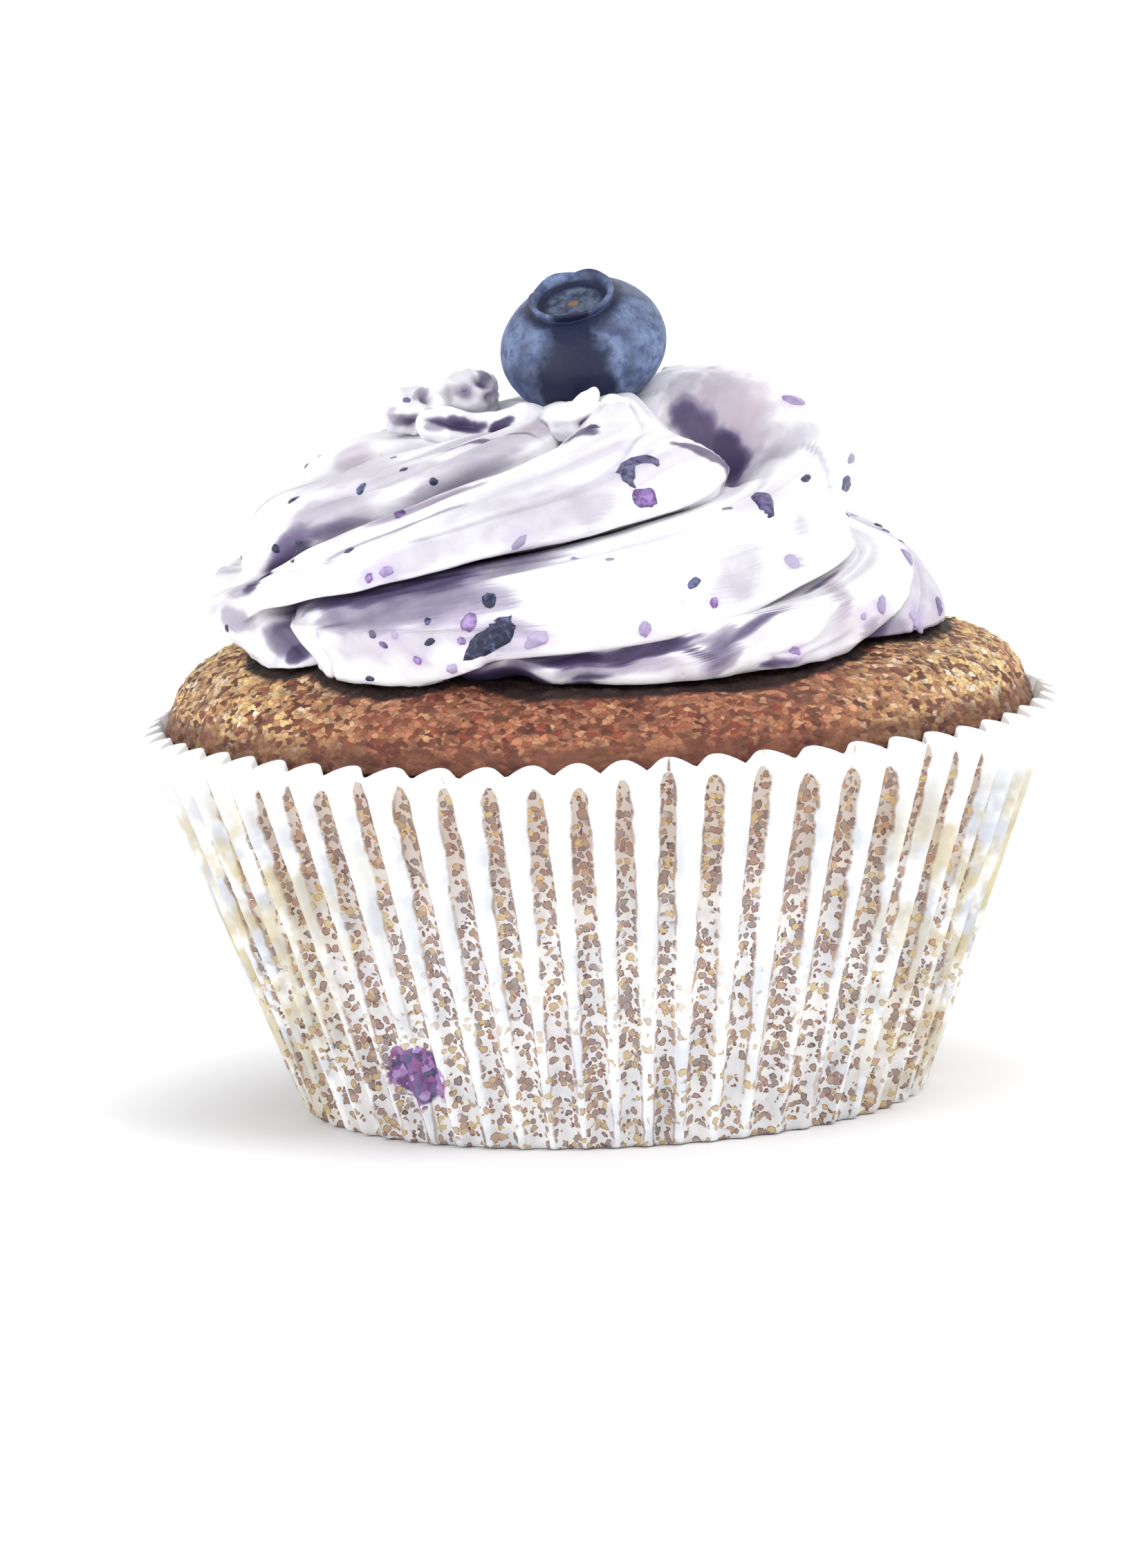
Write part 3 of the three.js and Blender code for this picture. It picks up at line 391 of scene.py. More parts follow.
def noise(points, size, seed):
    """Smooth noise from -1 to 1: random values on a lattice of that size, blended by smoothstep."""
    q = points / size
    cell = np.floor(q).astype(np.int64)
    w = q - cell
    w = w * w * (3 - 2 * w)
    total = np.zeros(points.shape[:-1])
    for corner in np.ndindex(2, 2, 2):
        share = np.prod(np.where(np.array(corner) == 1, w, 1 - w), axis=-1)
        total += share * lattice_random(cell + np.array(corner), seed)
    return 2 * total - 1


def grains(points, size, seed):
    """Distance from each point to the nearest of one random point a lattice cell, in cell sizes,
    and that grain's random number."""
    q = points / size
    cell = np.floor(q).astype(np.int64)
    nearest = np.full(points.shape[:-1], 9.0)
    number = np.zeros(points.shape[:-1])
    for step in np.ndindex(3, 3, 3):
        other = cell + np.array(step) - 1
        centre = other + np.stack([lattice_random(other, seed + k) for k in range(3)], axis=-1)
        distance = np.linalg.norm(q - centre, axis=-1)
        closer = distance < nearest
        nearest = np.where(closer, distance, nearest)
        number = np.where(closer, lattice_random(other, seed + 3), number)
    return nearest, number


def cos_sin(degrees):
    """Cosine and sine of an angle in degrees."""
    return math.cos(math.radians(degrees)), math.sin(math.radians(degrees))


def turn_from(at, degrees):
    """Shortest turn in degrees from an azimuth to others."""
    return (degrees - at + 180) % 360 - 180


def polar(radius, azimuth, z):
    """Points at a radius, an azimuth in radians and a height."""
    return np.stack(np.broadcast_arrays(radius * np.sin(azimuth), -radius * np.cos(azimuth), z), axis=-1)


def unit(vectors):
    """Vectors of length 1."""
    return vectors / np.maximum(np.linalg.norm(vectors, axis=-1, keepdims=True), 1e-12)


# ---- meshes ----

def skin_faces(rings, columns):
    """Quads between rings that close on themselves, and the triangles from the last two points,
    the poles, to the first and the last ring."""
    ring, column = np.meshgrid(np.arange(rings - 1), np.arange(columns), indexing="ij")
    after = (column + 1) % columns
    quads = np.stack([ring * columns + column, ring * columns + after,
                      (ring + 1) * columns + after, (ring + 1) * columns + column], axis=-1).reshape(-1, 4)
    c = np.arange(columns)
    after = (c + 1) % columns
    first = np.full(columns, rings * columns)
    last = (rings - 1) * columns
    triangles = np.concatenate([
        np.stack([first, after, c], axis=-1),
        np.stack([first + 1, last + c, last + after], axis=-1),
    ])
    return quads, triangles


def make_mesh(name, points, quads, triangles, values):
    """Mesh of points in millimetres, with one float attribute for each entry of values."""
    mesh = bpy.data.meshes.new(name)
    corners = np.concatenate([quads.ravel(), triangles.ravel()]).astype(np.int32)
    starts = np.concatenate([4 * np.arange(len(quads)), 4 * len(quads) + 3 * np.arange(len(triangles))])
    mesh.vertices.add(len(points))
    mesh.vertices.foreach_set("co", (points * MM).astype(np.float32).ravel())
    mesh.loops.add(len(corners))
    mesh.loops.foreach_set("vertex_index", corners)
    mesh.polygons.add(len(starts))
    mesh.polygons.foreach_set("loop_start", starts.astype(np.int32))
    mesh.update(calc_edges=True)
    for key, numbers in values.items():
        attribute = mesh.attributes.new(key, "FLOAT", "POINT")
        attribute.data.foreach_set("value", np.ascontiguousarray(numbers, dtype=np.float32).ravel())
    mesh.shade_smooth()
    return mesh


def join_patches(patches):
    """One set of arrays from closed patches: each a grid of rings (rings, columns, 3), its first and
    last pole, and values on the grid, of which a pole takes the mean of its ring."""
    points, quads, triangles, values, count = [], [], [], {}, 0
    for grid, first, last, numbers in patches:
        q, t = skin_faces(*grid.shape[:2])
        points.append(np.concatenate([grid.reshape(-1, 3), [first, last]]))
        quads.append(q + count)
        triangles.append(t + count)
        for key, v in numbers.items():
            ends = [v[0].mean(), v[-1].mean()]
            values.setdefault(key, []).append(np.concatenate([v.ravel(), ends]))
        count += grid.shape[0] * grid.shape[1] + 2
    return (np.concatenate(points), np.concatenate(quads), np.concatenate(triangles),
            {key: np.concatenate(v) for key, v in values.items()})


def place(name, patches, material, node, slot):
    """Object of closed patches, at the origin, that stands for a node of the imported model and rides
    on its body."""
    piece = bpy.data.objects.new(name, make_mesh(name, *join_patches(patches)))
    bpy.context.scene.collection.objects.link(piece)
    piece.data.materials.append(material)
    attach(piece, "root")
    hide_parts(node)
    return piece


# ---- paper case ----

CASE_STEPS = 12                # facets across one flute
CASE_ROWS = 46
CASE_INNER_ROWS = 10


def case_radius(z):
    """Mean radius of the wall at a height: a straight cone."""
    base, rim = sizes().base_radius / MM, sizes().rim_radius / MM
    return base + (rim - base) * z * MM / sizes().case_height


def flute_phase(azimuth):
    """Turns through the flutes: whole numbers on the ridges, halves in the grooves. A few slow
    waves make the flutes uneven."""
    uneven = azimuth + 0.012 * np.sin(3 * azimuth + 1) + 0.008 * np.sin(7 * azimuth)
    return sizes().flutes * uneven / FULL_TURN


def flute_wave(azimuth):
    """+1 on a ridge, -1 in a groove: a cosine with its ridges pinched, whose depth changes a
    little from flute to flute."""
    phase = flute_phase(azimuth)
    wave = np.cos(FULL_TURN * phase)
    pinched = wave + 0.35 * (wave * wave - 1)
    number = np.floor(phase + 0.5)
    cell = np.stack(np.broadcast_arrays(number, 0 * number, 0 * number), axis=-1).astype(np.int64)
    return pinched * (0.82 + 0.3 * lattice_random(cell, 21))


def wall_radius(azimuth, z):
    """Radius of the paper: the cone and the flutes, which fade out where the wall turns into the
    flat base."""
    depth = FLUTE_DEPTH_BASE + (FLUTE_DEPTH_RIM - FLUTE_DEPTH_BASE) * z * MM / sizes().case_height
    fade = smoothstep(-CASE_TURN_HEIGHT, CASE_TURN_HEIGHT, z)
    return case_radius(z) + depth * fade * flute_wave(azimuth)


def rim_height(azimuth):
    """Height of the rim: an arch over each groove, a notch at each ridge, and a slow wave."""
    slow = 0.6 * np.sin(2 * azimuth + 1.1) + 0.4 * np.sin(5 * azimuth + 0.4)
    arch = np.abs(np.sin(math.pi * flute_phase(azimuth))) ** 0.8
    return sizes().case_height / MM + RIM_WAVE * slow + RIM_SCALLOP * (2 * arch - 1)


def case_patch():
    """Rings of the paper from the middle of the underside, up the outside, over the rim and down
    the inside, and the values its material reads."""
    columns = sizes().flutes * CASE_STEPS
    azimuth = np.arange(columns) * FULL_TURN / columns
    rim = rim_height(azimuth)
    up = np.linspace(0, 1, CASE_ROWS)[:, None]
    outer_z = CASE_TURN_HEIGHT + (rim - CASE_TURN_HEIGHT) * up
    down = np.linspace(1, 0, CASE_INNER_ROWS)[:, None]
    inner_z = CASE_TURN_HEIGHT + PAPER + (rim - CASE_TURN_HEIGHT - PAPER) * down
    crinkle = 0.06 * noise(polar(36.0, azimuth[None, :], 2.0 * outer_z), 1.4, 31)
    foot = case_radius(0) - CASE_TURN_HEIGHT / 2
    zero = np.zeros(columns)
    turn_z = np.array([0, 0.12, 0.45])[:, None]
    turn_share = np.array([0, 0.55, 0.85])[:, None]
    turn_wall = wall_radius(azimuth, CASE_TURN_HEIGHT)[None, :]
    turn_radius = foot + (turn_wall - foot) * turn_share
    outer = polar(wall_radius(azimuth, outer_z) + crinkle, azimuth, outer_z)
    inner = polar(wall_radius(azimuth, inner_z) - PAPER, azimuth, inner_z)
    inner[0] = polar(wall_radius(azimuth, rim) - PAPER + crinkle[-1], azimuth, rim)
    grid = np.concatenate([
        polar(foot * 0.5, azimuth, zero)[None],
        polar(turn_radius, azimuth, turn_z),
        outer, inner,
        polar(foot - PAPER, azimuth, zero + PAPER)[None],
    ])
    shape = grid.shape[:2]
    phase = flute_phase(azimuth)
    flute = np.broadcast_to(np.abs(2 * (phase - np.floor(phase)) - 1), shape)
    cell = np.stack([np.floor(phase), 0 * phase, 0 * phase], axis=-1).astype(np.int64)
    number = np.broadcast_to(lattice_random(cell, 5), shape)
    below = np.broadcast_to(rim, shape) - grid[..., 2]
    inside = np.zeros(shape)
    inside[1 + len(turn_z) + CASE_ROWS:] = 1
    spot_azimuth, spot_height, spot_radius = JUICE_SPOT
    spot = polar(case_radius(spot_height), math.radians(spot_azimuth), spot_height)
    juice = smoothstep(1.25, 0.75, np.linalg.norm(grid - spot, axis=-1) / spot_radius)
    values = {"flute": flute, "number": number, "below": below, "inside": inside, "juice": juice}
    return grid, (0, 0, 0), (0, 0, PAPER), values


# ---- cake ----

CRUST_COLUMNS = 620
CRUST_ROWS = 78                # from under the edge of the cream to the rim of the case
# painted shadow: the crust is darkened close to the cream
CREAM_SHADOW_WIDTH = 0.7                   # the crust is dark this far out from the cream


def crust_height(radius, azimuth):
    """Height of the crust: nearly flat under the cream, rolling over to the rim of the case."""
    share = np.clip(radius / CAKE_R, 0, 1)
    rise = CRUST_RISE + CRUST_SIDE_RISE * np.sin(azimuth) ** 2 - CRUST_LEAN * np.sin(azimuth)
    return CRUST_EDGE_Z + rise * (1 - share ** CRUST_POWER) ** CRUST_ROLL


def cream_edge(azimuth):
    """Radius of the cream's foot at azimuths in radians: the largest that any of its points has in
    each degree."""
    level = np.linspace(-0.03, 0.0, 9)[:, None, None]
    u = np.linspace(0, 0.99, 120)[None, None, :]
    points = cream_surface(np.arange(ROLLS)[None, :, None], u, level).reshape(-1, 3)
    degree = (np.degrees(np.arctan2(points[:, 0], -points[:, 1])) % 360).astype(int)
    edge = np.zeros(360)
    np.maximum.at(edge, degree, np.hypot(points[:, 0], points[:, 1]))
    return np.interp(np.degrees(azimuth) % 360, np.arange(360) + 0.5, edge, period=360)


def foot_arches(degrees):
    """Height of the arches at the foot of the cream: a round hump at each one's azimuth."""
    total = 0 * degrees
    for at, wide, tall in FOOT_ARCHES:
        total = total + tall * np.exp(-((turn_from(at, degrees) / wide) ** 2))
    return total


def crust_patch():
    """Rings of the cake from the middle of its underside up its side, over the crust and in under the cream.
    Crumbs and pits push the crust out along its normal, and a painted shadow darkens the crust nearly to
    black close to the cream."""
    azimuth = np.arange(CRUST_COLUMNS) * FULL_TURN / CRUST_COLUMNS
    rings = [polar(r, azimuth, z) for z, r in CAKE_SIDE]
    turn = np.linspace(0, 1, CRUST_ROWS)[:, None]
    radius = CAKE_R - 0.02 - (CAKE_R - CRUST_INNER_R) * turn ** 2.1
    top = polar(radius, azimuth, crust_height(radius, azimuth))
    rings = np.concatenate([np.stack(rings), top])
    along = np.gradient(rings, axis=0)
    across = np.roll(rings, -1, axis=1) - np.roll(rings, 1, axis=1)
    normal = unit(np.cross(across, along))
    nearest, number = grains(rings, 0.95, 41)
    small, _ = grains(rings, 0.5, 47)
    crumbs = 0.26 * (0.55 - nearest) * (0.6 + 0.8 * number) + 0.15 * (0.5 - small)
    lumps = 0.28 * noise(rings, 3.6, 43) + 0.14 * noise(rings, 1.7, 44)
    # the side stays smooth, up to its last ring
    shown = np.concatenate([[0, 0, 0, 0, 0.4], np.ones(CRUST_ROWS)])[:, None]
    grid = rings + normal * ((crumbs + lumps - 0.12) * shown)[..., None]
    under = [polar(r, azimuth, crust_height(r, azimuth) - CRUST_UNDER_CREAM) for r in (18.0, 10.0)]
    grid = np.concatenate([grid, np.stack(under)])
    fill = ((0, 2), (0, 0))
    # the painted shadow reaches further where the foot of the cream arches off the crust
    wide = np.maximum(CREAM_SHADOW_WIDTH + 1.2 * foot_arches(np.degrees(azimuth)) + 0.4 * noise(rings, 1.6, 49), 0.3)
    radius = np.hypot(rings[..., 0], rings[..., 1])
    soak_and_shadow = smoothstep(wide, 0.4 * wide, radius - cream_edge(azimuth)) * (rings[..., 2] > CRUST_EDGE_Z)
    values = {"crumb": np.pad(0.5 - nearest, fill), "soak_and_shadow": np.pad(soak_and_shadow, fill, constant_values=1.0)}
    top = (0, 0, crust_height(0.0, 0.0) - CRUST_UNDER_CREAM)
    return grid, (0, 0, CAKE_SIDE[0][0]), top, values


# ---- cream ----

CREAM_STEPS = 56               # facets across one roll
CREAM_ROWS = 225
CREAM_FOOT_ROWS = 12


def creases(level):
    """Azimuths in degrees of all creases at a level, and the first again a full turn on: (8, ...)."""
    front = [through_points(level, crease) for crease in FRONT_CREASES]
    climb = through_points(level, BACK_CLIMB)
    back = [start + share * climb for start, share in BACK_CREASES]
    return np.stack([*front, *back, front[0] + 360])


def dome(level):
    """Radius and height of the smooth dome at a level: a superellipse, then the dip of the seat."""
    angle = np.clip(level / CREST_LEVEL, -0.2, 1) * CREST_ANGLE
    power = 2 / CREAM_POWER
    seat = np.clip((level - CREST_LEVEL) / (1 - CREST_LEVEL), 0, 1)
    radius = sizes().cream_radius / MM * np.cos(angle) ** power * (1 - seat)
    rise = sizes().cream_rise / MM * np.sign(angle) * np.abs(np.sin(angle)) ** power
    return radius, CREAM_Z + rise - SEAT_DEPTH * smoothstep(0, 1, seat)


def dome_frame(level):
    """Radius, height and outward normal of the dome's outline; below level 0 it is the round foot."""
    step = 0.001
    radius, height = dome(np.maximum(level, 0))
    r1, z1 = dome(np.maximum(level, 0) + step)
    r0, z0 = dome(np.maximum(level - step, 0))
    length = np.hypot(r1 - r0, z1 - z0)
    turn = np.clip(level / FOOT_LEVEL, 0, 1) * math.pi / 2
    foot = level < 0
    foot_r = sizes().cream_radius / MM - FOOT_RADIUS * (1 - np.cos(turn))
    return (np.where(foot, foot_r, radius),
            np.where(foot, CREAM_Z - FOOT_DROP * np.sin(turn), height),
            np.where(foot, np.cos(turn), (z1 - z0) / length),
            np.where(foot, -np.sin(turn), -(r1 - r0) / length))


def roll_section(u):
    """Cross-section of one roll: 0 in the creases, 1 on its top, which leans towards its lower lip."""
    return (1 - np.abs(2 * u ** ROLL_SKEW - 1) ** ROLL_ROUNDNESS) ** (1 / ROLL_ROUNDNESS)


def scoop_mask(roll, u, level):
    """1 in the middle of the scoop, falling round it, and 0 on every other roll."""
    scoop_roll, scoop_u, middle, across, along = SCOOP
    reach = ((u - scoop_u) / across) ** 2 + ((level - middle) / along) ** 2
    return (roll == scoop_roll) * np.exp(-reach) * smoothstep(0, 0.05, u)


def groove_lines(roll, u, level):
    """1 along thin grooves that wander up each roll and come and go."""
    total = np.zeros(u.shape)
    for k, where in enumerate((0.3, 0.62)):
        path = np.stack([level * 6, roll * 3.0, level * 0 + k], axis=-1)
        stretch = np.stack([level * 5, roll * 9.0, level * 0 + k], axis=-1)
        wander = where + 0.05 * noise(path, 1.0, 66)
        shown = smoothstep(0.0, 0.5, noise(stretch, 1.0, 67))
        total += shown * np.exp(-(((u - wander) / 0.018) ** 2))
    return total


def roll_edges(roll, level):
    """Azimuths in degrees of the two creases that a roll lies between."""
    edges = creases(level)
    return (np.take_along_axis(edges, roll[None], axis=0)[0],
            np.take_along_axis(edges, roll[None] + 1, axis=0)[0])


def cream_surface(roll, u, level):
    """Points of the cream on a roll, u across it from 0, tucked under the roll above, to 1, its
    lower lip.

    The dome's outline is turned to the azimuth between two creases, pushed out along its normal by
    the roll's section, the swells and fine relief, leaned to one side and kept above the crust."""
    roll, u, level = np.broadcast_arrays(roll, u, level)
    low, high = roll_edges(roll, level)
    degrees = low + (high - low) * u
    azimuth = np.radians(degrees)
    ragged = noise(np.stack([level * 14, roll * 7.0, 0 * level], axis=-1), 1.0, 61)
    lip = np.exp(-(((u - 0.9) / 0.07) ** 2)) * (1 + 0.45 * ragged)
    tuck = np.exp(-((u / 0.05) ** 2)) + np.exp(-(((1 - u) / 0.025) ** 2))
    shifted = level + graph(level, ROLL_LIP) * (0.8 * tuck - lip) * 1.3 / LEVEL_ARC
    radius, height, out, rise = dome_frame(shifted)
    share = np.sqrt(np.clip((high - low) / USUAL_ROLL, 0.5, 1.5))
    push = graph(level, ROLL_HEIGHT) * share * (roll_section(u) - ROLL_CENTRE)
    for at, middle, across, along, swell in SWELLS:
        turn = turn_from(at, degrees)
        push = push + swell * np.exp(-((turn / across) ** 2) - ((shifted - middle) / along) ** 2)
    push = push - SCOOP_DEPTH * scoop_mask(roll, u, shifted)
    for ridge_roll, ridge_u, wide, tall, (start, full, fading, end) in RIDGES:
        shown = (roll == ridge_roll) * smoothstep(start, full, level) * smoothstep(end, fading, level)
        push = push + tall * shown * np.exp(-(((u - ridge_u) / wide) ** 2))
    streaks = np.stack([u * (high - low) / 3.2, level * 4.5, roll * 5.0], axis=-1)
    fine = 0.2 * noise(streaks, 1.0, 63) + 0.07 * noise(streaks * (2.6, 1.5, 1.0), 1.0, 64)
    base = polar(radius + out * push, azimuth, height + rise * push)
    fine += 0.3 * noise(base, 7.0, 68) + 0.1 * noise(base, 2.3, 69) - 0.45 * groove_lines(roll, u, level)
    fine *= smoothstep(FOOT_LEVEL, 0.02, level) * smoothstep(1.0, 0.85, level)
    push = push + fine
    point = polar(np.maximum(radius + out * push, 0), azimuth, height + rise * push)
    point[..., 0] += graph(shifted, ROLL_LEAN)
    point[..., 2] += graph(shifted, ROLL_TILT) * point[..., 0]
    point[..., 2] += foot_arches(degrees) * smoothstep(0.05, -0.02, level)
    lift = FOOT_LIFT * smoothstep(-0.045, -0.015, level)
    floor = crust_height(np.hypot(point[..., 0], point[..., 1]), azimuth) + CREAM_CLEAR + lift
    point[..., 2] = np.maximum(point[..., 2], floor)
    return point


def cream_tints(roll, u, level):
    """Tints of the cream at its points: how much painted shade lies in a fold, in the scoop, along the thin
    grooves and under the foot, how strong a thin grey-lilac wash is, which is partly tint and partly painted
    shade, and how rosy it is. The washes are noise drawn out along the rolls."""
    roll, u, level = np.broadcast_arrays(roll, u, level)
    low, high = roll_edges(roll, level)
    across = u * (high - low)
    streak = noise(np.stack([across / 2.2, level * 7, roll * 5.0], axis=-1), 1.0, 72)
    # painted shade in the scoop, along the thin grooves and under the foot
    scoop = scoop_mask(roll, u, level)
    edge = np.clip(np.exp(-u / 0.11) + smoothstep(0.6, 0.47, level), 0, 1)
    fold_shade = (scoop * edge * (0.8 + 0.4 * streak) + 0.2 * groove_lines(roll, u, level)
            + smoothstep(-0.012, -0.035, level))
    # painted shade in the fold at the top of each roll and under its lip
    for k in range(ROLLS):
        strength, width = PAINTED_FOLD_SHADES.get(k, USUAL_FOLD_SHADE)
        fold_shade = fold_shade + (roll == k) * graph(level, strength) * np.exp(-((u / graph(level, width)) ** 1.3))
        strength, width = PAINTED_LIP_SHADES.get(k, (((0, 0.3), (0.5, 0.15)), ((0, 0.02), (1, 0.02))))
        fold_shade = fold_shade + (roll == k) * graph(level, strength) * np.exp(-(((1 - u) / graph(level, width)) ** 1.3))
    # grey-lilac wash, partly a lilac tint of the cream and partly painted shade
    wash = sum((roll == k) * ROLL_WASHES.get(k, USUAL_WASH) for k in range(ROLLS))
    drawn = np.stack([across / 8.0, level * 5, roll * 5.0], axis=-1)
    patches = smoothstep(-0.35, 0.45, noise(drawn, 1.0, 73) + 0.4 * noise(drawn * (3.0, 2.2, 1.0), 1.0, 74))
    return {"fold_shade": np.clip(fold_shade, 0, 1), "wash": wash * patches, "rose": 0 * fold_shade, "juice": 0 * fold_shade}


def cream_grid():
    """Rings of the swirl from under its foot up to the seat of the berry, and its tints. The columns
    follow the creases as they climb, so the creases stay sharp."""
    foot = np.linspace(FOOT_LEVEL, 0, CREAM_FOOT_ROWS, endpoint=False)
    level = np.concatenate([foot, np.linspace(0, 1, CREAM_ROWS, endpoint=False) ** 1.1])[:, None, None]
    step = np.arange(CREAM_STEPS) / CREAM_STEPS
    u = (step - 0.1 * np.sin(FULL_TURN * step) / FULL_TURN)[None, None, :]
    roll = np.arange(ROLLS)[None, :, None]
    grid = cream_surface(roll, u, level).reshape(len(level), -1, 3)
    under = []
    for share in (0.4, 0.8):
        ring = grid[0] * (share, share, 1)
        ring[:, 2] = crust_height(np.hypot(ring[:, 0], ring[:, 1]), 0.0) + CREAM_CLEAR
        under.append(ring)
    tints = {key: np.pad(tint.reshape(len(level), -1), ((2, 0), (0, 0)))
             for key, tint in cream_tints(roll, u, level).items()}
    return np.concatenate([np.stack(under), grid]), tints


def spline(points, s):
    """Smooth curve through points: Catmull-Rom pieces of equal parameter length."""
    p = np.asarray(points, float)
    p = np.concatenate([[2 * p[0] - p[1]], p, [2 * p[-1] - p[-2]]])
    x = np.clip(s, 0, 1) * (len(p) - 3)
    i = np.minimum(x.astype(int), len(p) - 4)
    t = (x - i)[:, None]
    a, b, c, d = p[i], p[i + 1], p[i + 2], p[i + 3]
    return 0.5 * (2 * b + (c - a) * t + (2 * a - 5 * b + 4 * c - d) * t ** 2
                  + (3 * b - a - 3 * c + d) * t ** 3)


def plain_tints(fold_shade, grid):
    """Tints of a dab or a curl: its own painted shade in its folds, and thin grey-lilac washes in patches,
    partly tint and partly painted shade.
    """
    patches = smoothstep(0.0, 0.5, noise(grid, 2.0, 76))
    return {"fold_shade": fold_shade, "wash": 0.32 * patches, "rose": 0 * fold_shade, "juice": 0 * fold_shade}


def dab_patch(middle, half, turn, seed, hollows):
    """One dab of cream: an ellipsoid whose radius changes with broad and fine noise, and sinks in round
    hollows that are darkened with painted shade towards their middles."""
    rows, sides = 60, 80
    drop = np.linspace(0.03, math.pi - 0.03, rows)[::-1, None]
    azimuth = np.arange(sides)[None, :] * FULL_TURN / sides
    ball = polar(np.sin(drop), azimuth, np.cos(drop))
    size = (1 + 0.2 * noise(ball, 0.8, seed) + 0.1 * noise(ball, 0.35, seed + 1)
            + 0.03 * noise(ball, 0.13, seed + 2))
    fold_shade = np.zeros(size.shape)
    for at, up, wide, depth, tint in hollows:
        level_part, up_part = cos_sin(up)
        towards = polar(level_part, math.radians(at), up_part)
        away = np.arccos(np.clip(ball @ towards, -1, 1)) * (1 + 0.3 * noise(ball, 0.4, seed + 3))
        lip = 0.07 * np.exp(-(((away - 1.15 * wide) / 0.14) ** 2))
        size = size - depth * smoothstep(wide, 0.35 * wide, away) + lip
        fold_shade = np.maximum(fold_shade, tint * smoothstep(wide, 0.2 * wide, away))
    c, s = cos_sin(turn)
    spin = np.array(((c, s, 0), (-s, c, 0), (0, 0, 1)))
    grid = (ball * size[..., None] * half) @ spin + middle
    return grid, grid[0].mean(axis=0), grid[-1].mean(axis=0), plain_tints(fold_shade, grid)


def curl_patch(points, radius, taper_power, groove_turn, groove_depth, groove_width, groove_ends, seed):
    """One curl of cream: a lumpy round section carried along a path, thin at both ends, with a groove along
    its front where the cream has folded over, darkened with painted shade."""
    rows, sides = 84, 40
    s = np.linspace(0, 1, rows)
    centre = spline(points, s)
    along = unit(np.gradient(centre, axis=0))
    across = unit(np.cross((0, 0, 1), along))
    upward = np.cross(along, across)
    turn = np.arange(sides)[None, :] * FULL_TURN / sides
    taper = np.sqrt(np.clip(1 - np.abs(2 * s - 1) ** taper_power, 0, 1))[:, None]
    ring = (across[:, None] * np.cos(turn)[..., None] + upward[:, None] * np.sin(turn)[..., None])
    round_form = centre[:, None] + radius * taper[..., None] * ring
    wander = groove_turn + 0.45 * noise(np.stack([s * 4, 0 * s, 0 * s], axis=-1), 1.0, seed + 1)[:, None]
    away = (turn - wander + math.pi) % FULL_TURN - math.pi
    start, end = groove_ends
    window = smoothstep(start, start + 0.15, s)[:, None] * smoothstep(end, end - 0.15, s)[:, None]
    groove = window * np.exp(-((away / groove_width) ** 2))
    lips = window * np.exp(-(((np.abs(away) - 1.6 * groove_width) / 0.3) ** 2))
    lumps = 0.26 * noise(round_form, 2.2, seed) + 0.1 * noise(round_form, 0.9, seed + 2)
    size = radius * taper * (1 + lumps - groove_depth * groove + 0.16 * lips)
    grid = centre[:, None] + size[..., None] * ring
    # painted shade in the groove
    tint = 0.95 * window * np.exp(-((away / (0.7 * groove_width)) ** 2)) * (groove_depth > 0)
    return grid, centre[0], centre[-1], plain_tints(tint, grid)


def cream_patches():
    """The cream as closed patches: the swirl, the dabs and the curls."""
    grid, tints = cream_grid()
    bottom = (0, 0, crust_height(0.0, 0.0) + CREAM_CLEAR)
    seat = cream_surface(np.array(0), np.array(0.5), np.array(1.0))
    dabs = [dab_patch(*dab) for dab in DABS]
    curls = [curl_patch(*curl) for curl in CURLS]
    return [(grid, bottom, seat, tints), *dabs, *curls]


# ---- patches of painted shade and tint, and bits of skin ----

def cream_tree(patches):
    """The cream's surface as a tree that lines can be cast at, in millimetres."""
    points, quads, triangles, _ = join_patches(patches)
    return BVHTree.FromPolygons(points.tolist(), quads.tolist() + triangles.tolist())


def landing(tree, start, ray, reach):
    """Where a line first meets the cream, with the mean of the outward normals there and at the same
    reach to four sides; None if it misses."""
    side = unit(np.cross(ray, (0, 0, 1)))
    above = np.cross(side, ray)
    found = []
    for offset in (0 * side, side, -side, above, -above):
        at, normal = tree.ray_cast(Vector(start + reach * offset), Vector(ray))[:2]
        if at is not None:
            found.append((np.array(at), np.array(normal) * -np.sign(normal @ Vector(ray))))
        elif not found:
            return None
    middle = found[0][0]
    near = [normal for at, normal in found if np.linalg.norm(at - middle) < 2.5 * reach + 0.5]
    return middle, unit(np.mean(near, axis=0))


def seen_at(tree, across, up, reach):
    """The landing of the line of sight through a place in the picture. A place just outside the
    cream's outline moves inwards until it meets the cream."""
    right, level_up, back = (np.array(axis) for axis in camera_axes())
    eye = (np.array(LOOK_AT) + CAMERA_DISTANCE * back) / MM
    for share in np.linspace(1, 0.8, 21):
        ray = unit(share * across * right + up * level_up - back * CAMERA_DISTANCE / MM)
        found = landing(tree, eye, ray, reach)
        if found:
            return found
    raise ValueError(f"no cream is seen at {across}, {up}")


def surface_axes(out):
    """Directions to the right and upwards in the surface, for its outward normal."""
    upward = unit(np.array((0.0, 0.0, 1.0)) - out[2] * out)
    return np.cross(upward, out), upward


def stain(points, at, out, half_length, half_width, turn, seed):
    """How strongly one patch of painted shade and tint on the cream covers each point: 1 in the middle of an
    ellipse in the surface, fading to its edge, which wanders with noise."""
    right, upward = surface_axes(out)
    away = points - at
    c, s = cos_sin(turn)
    x = away @ (c * right + s * upward) / half_length
    y = away @ (c * upward - s * right) / half_width
    reach = np.hypot(x, y)
    near = reach < 1.6
    strength = np.zeros(reach.shape)
    wander = 1 + 0.28 * noise(points[near], 1.7, seed) + 0.14 * noise(points[near], 0.6, seed + 1)
    within = smoothstep(1.25, 0.45, reach[near] * wander)
    strength[near] = within * smoothstep(4.5, 3.0, np.abs(away[near] @ out))
    return strength


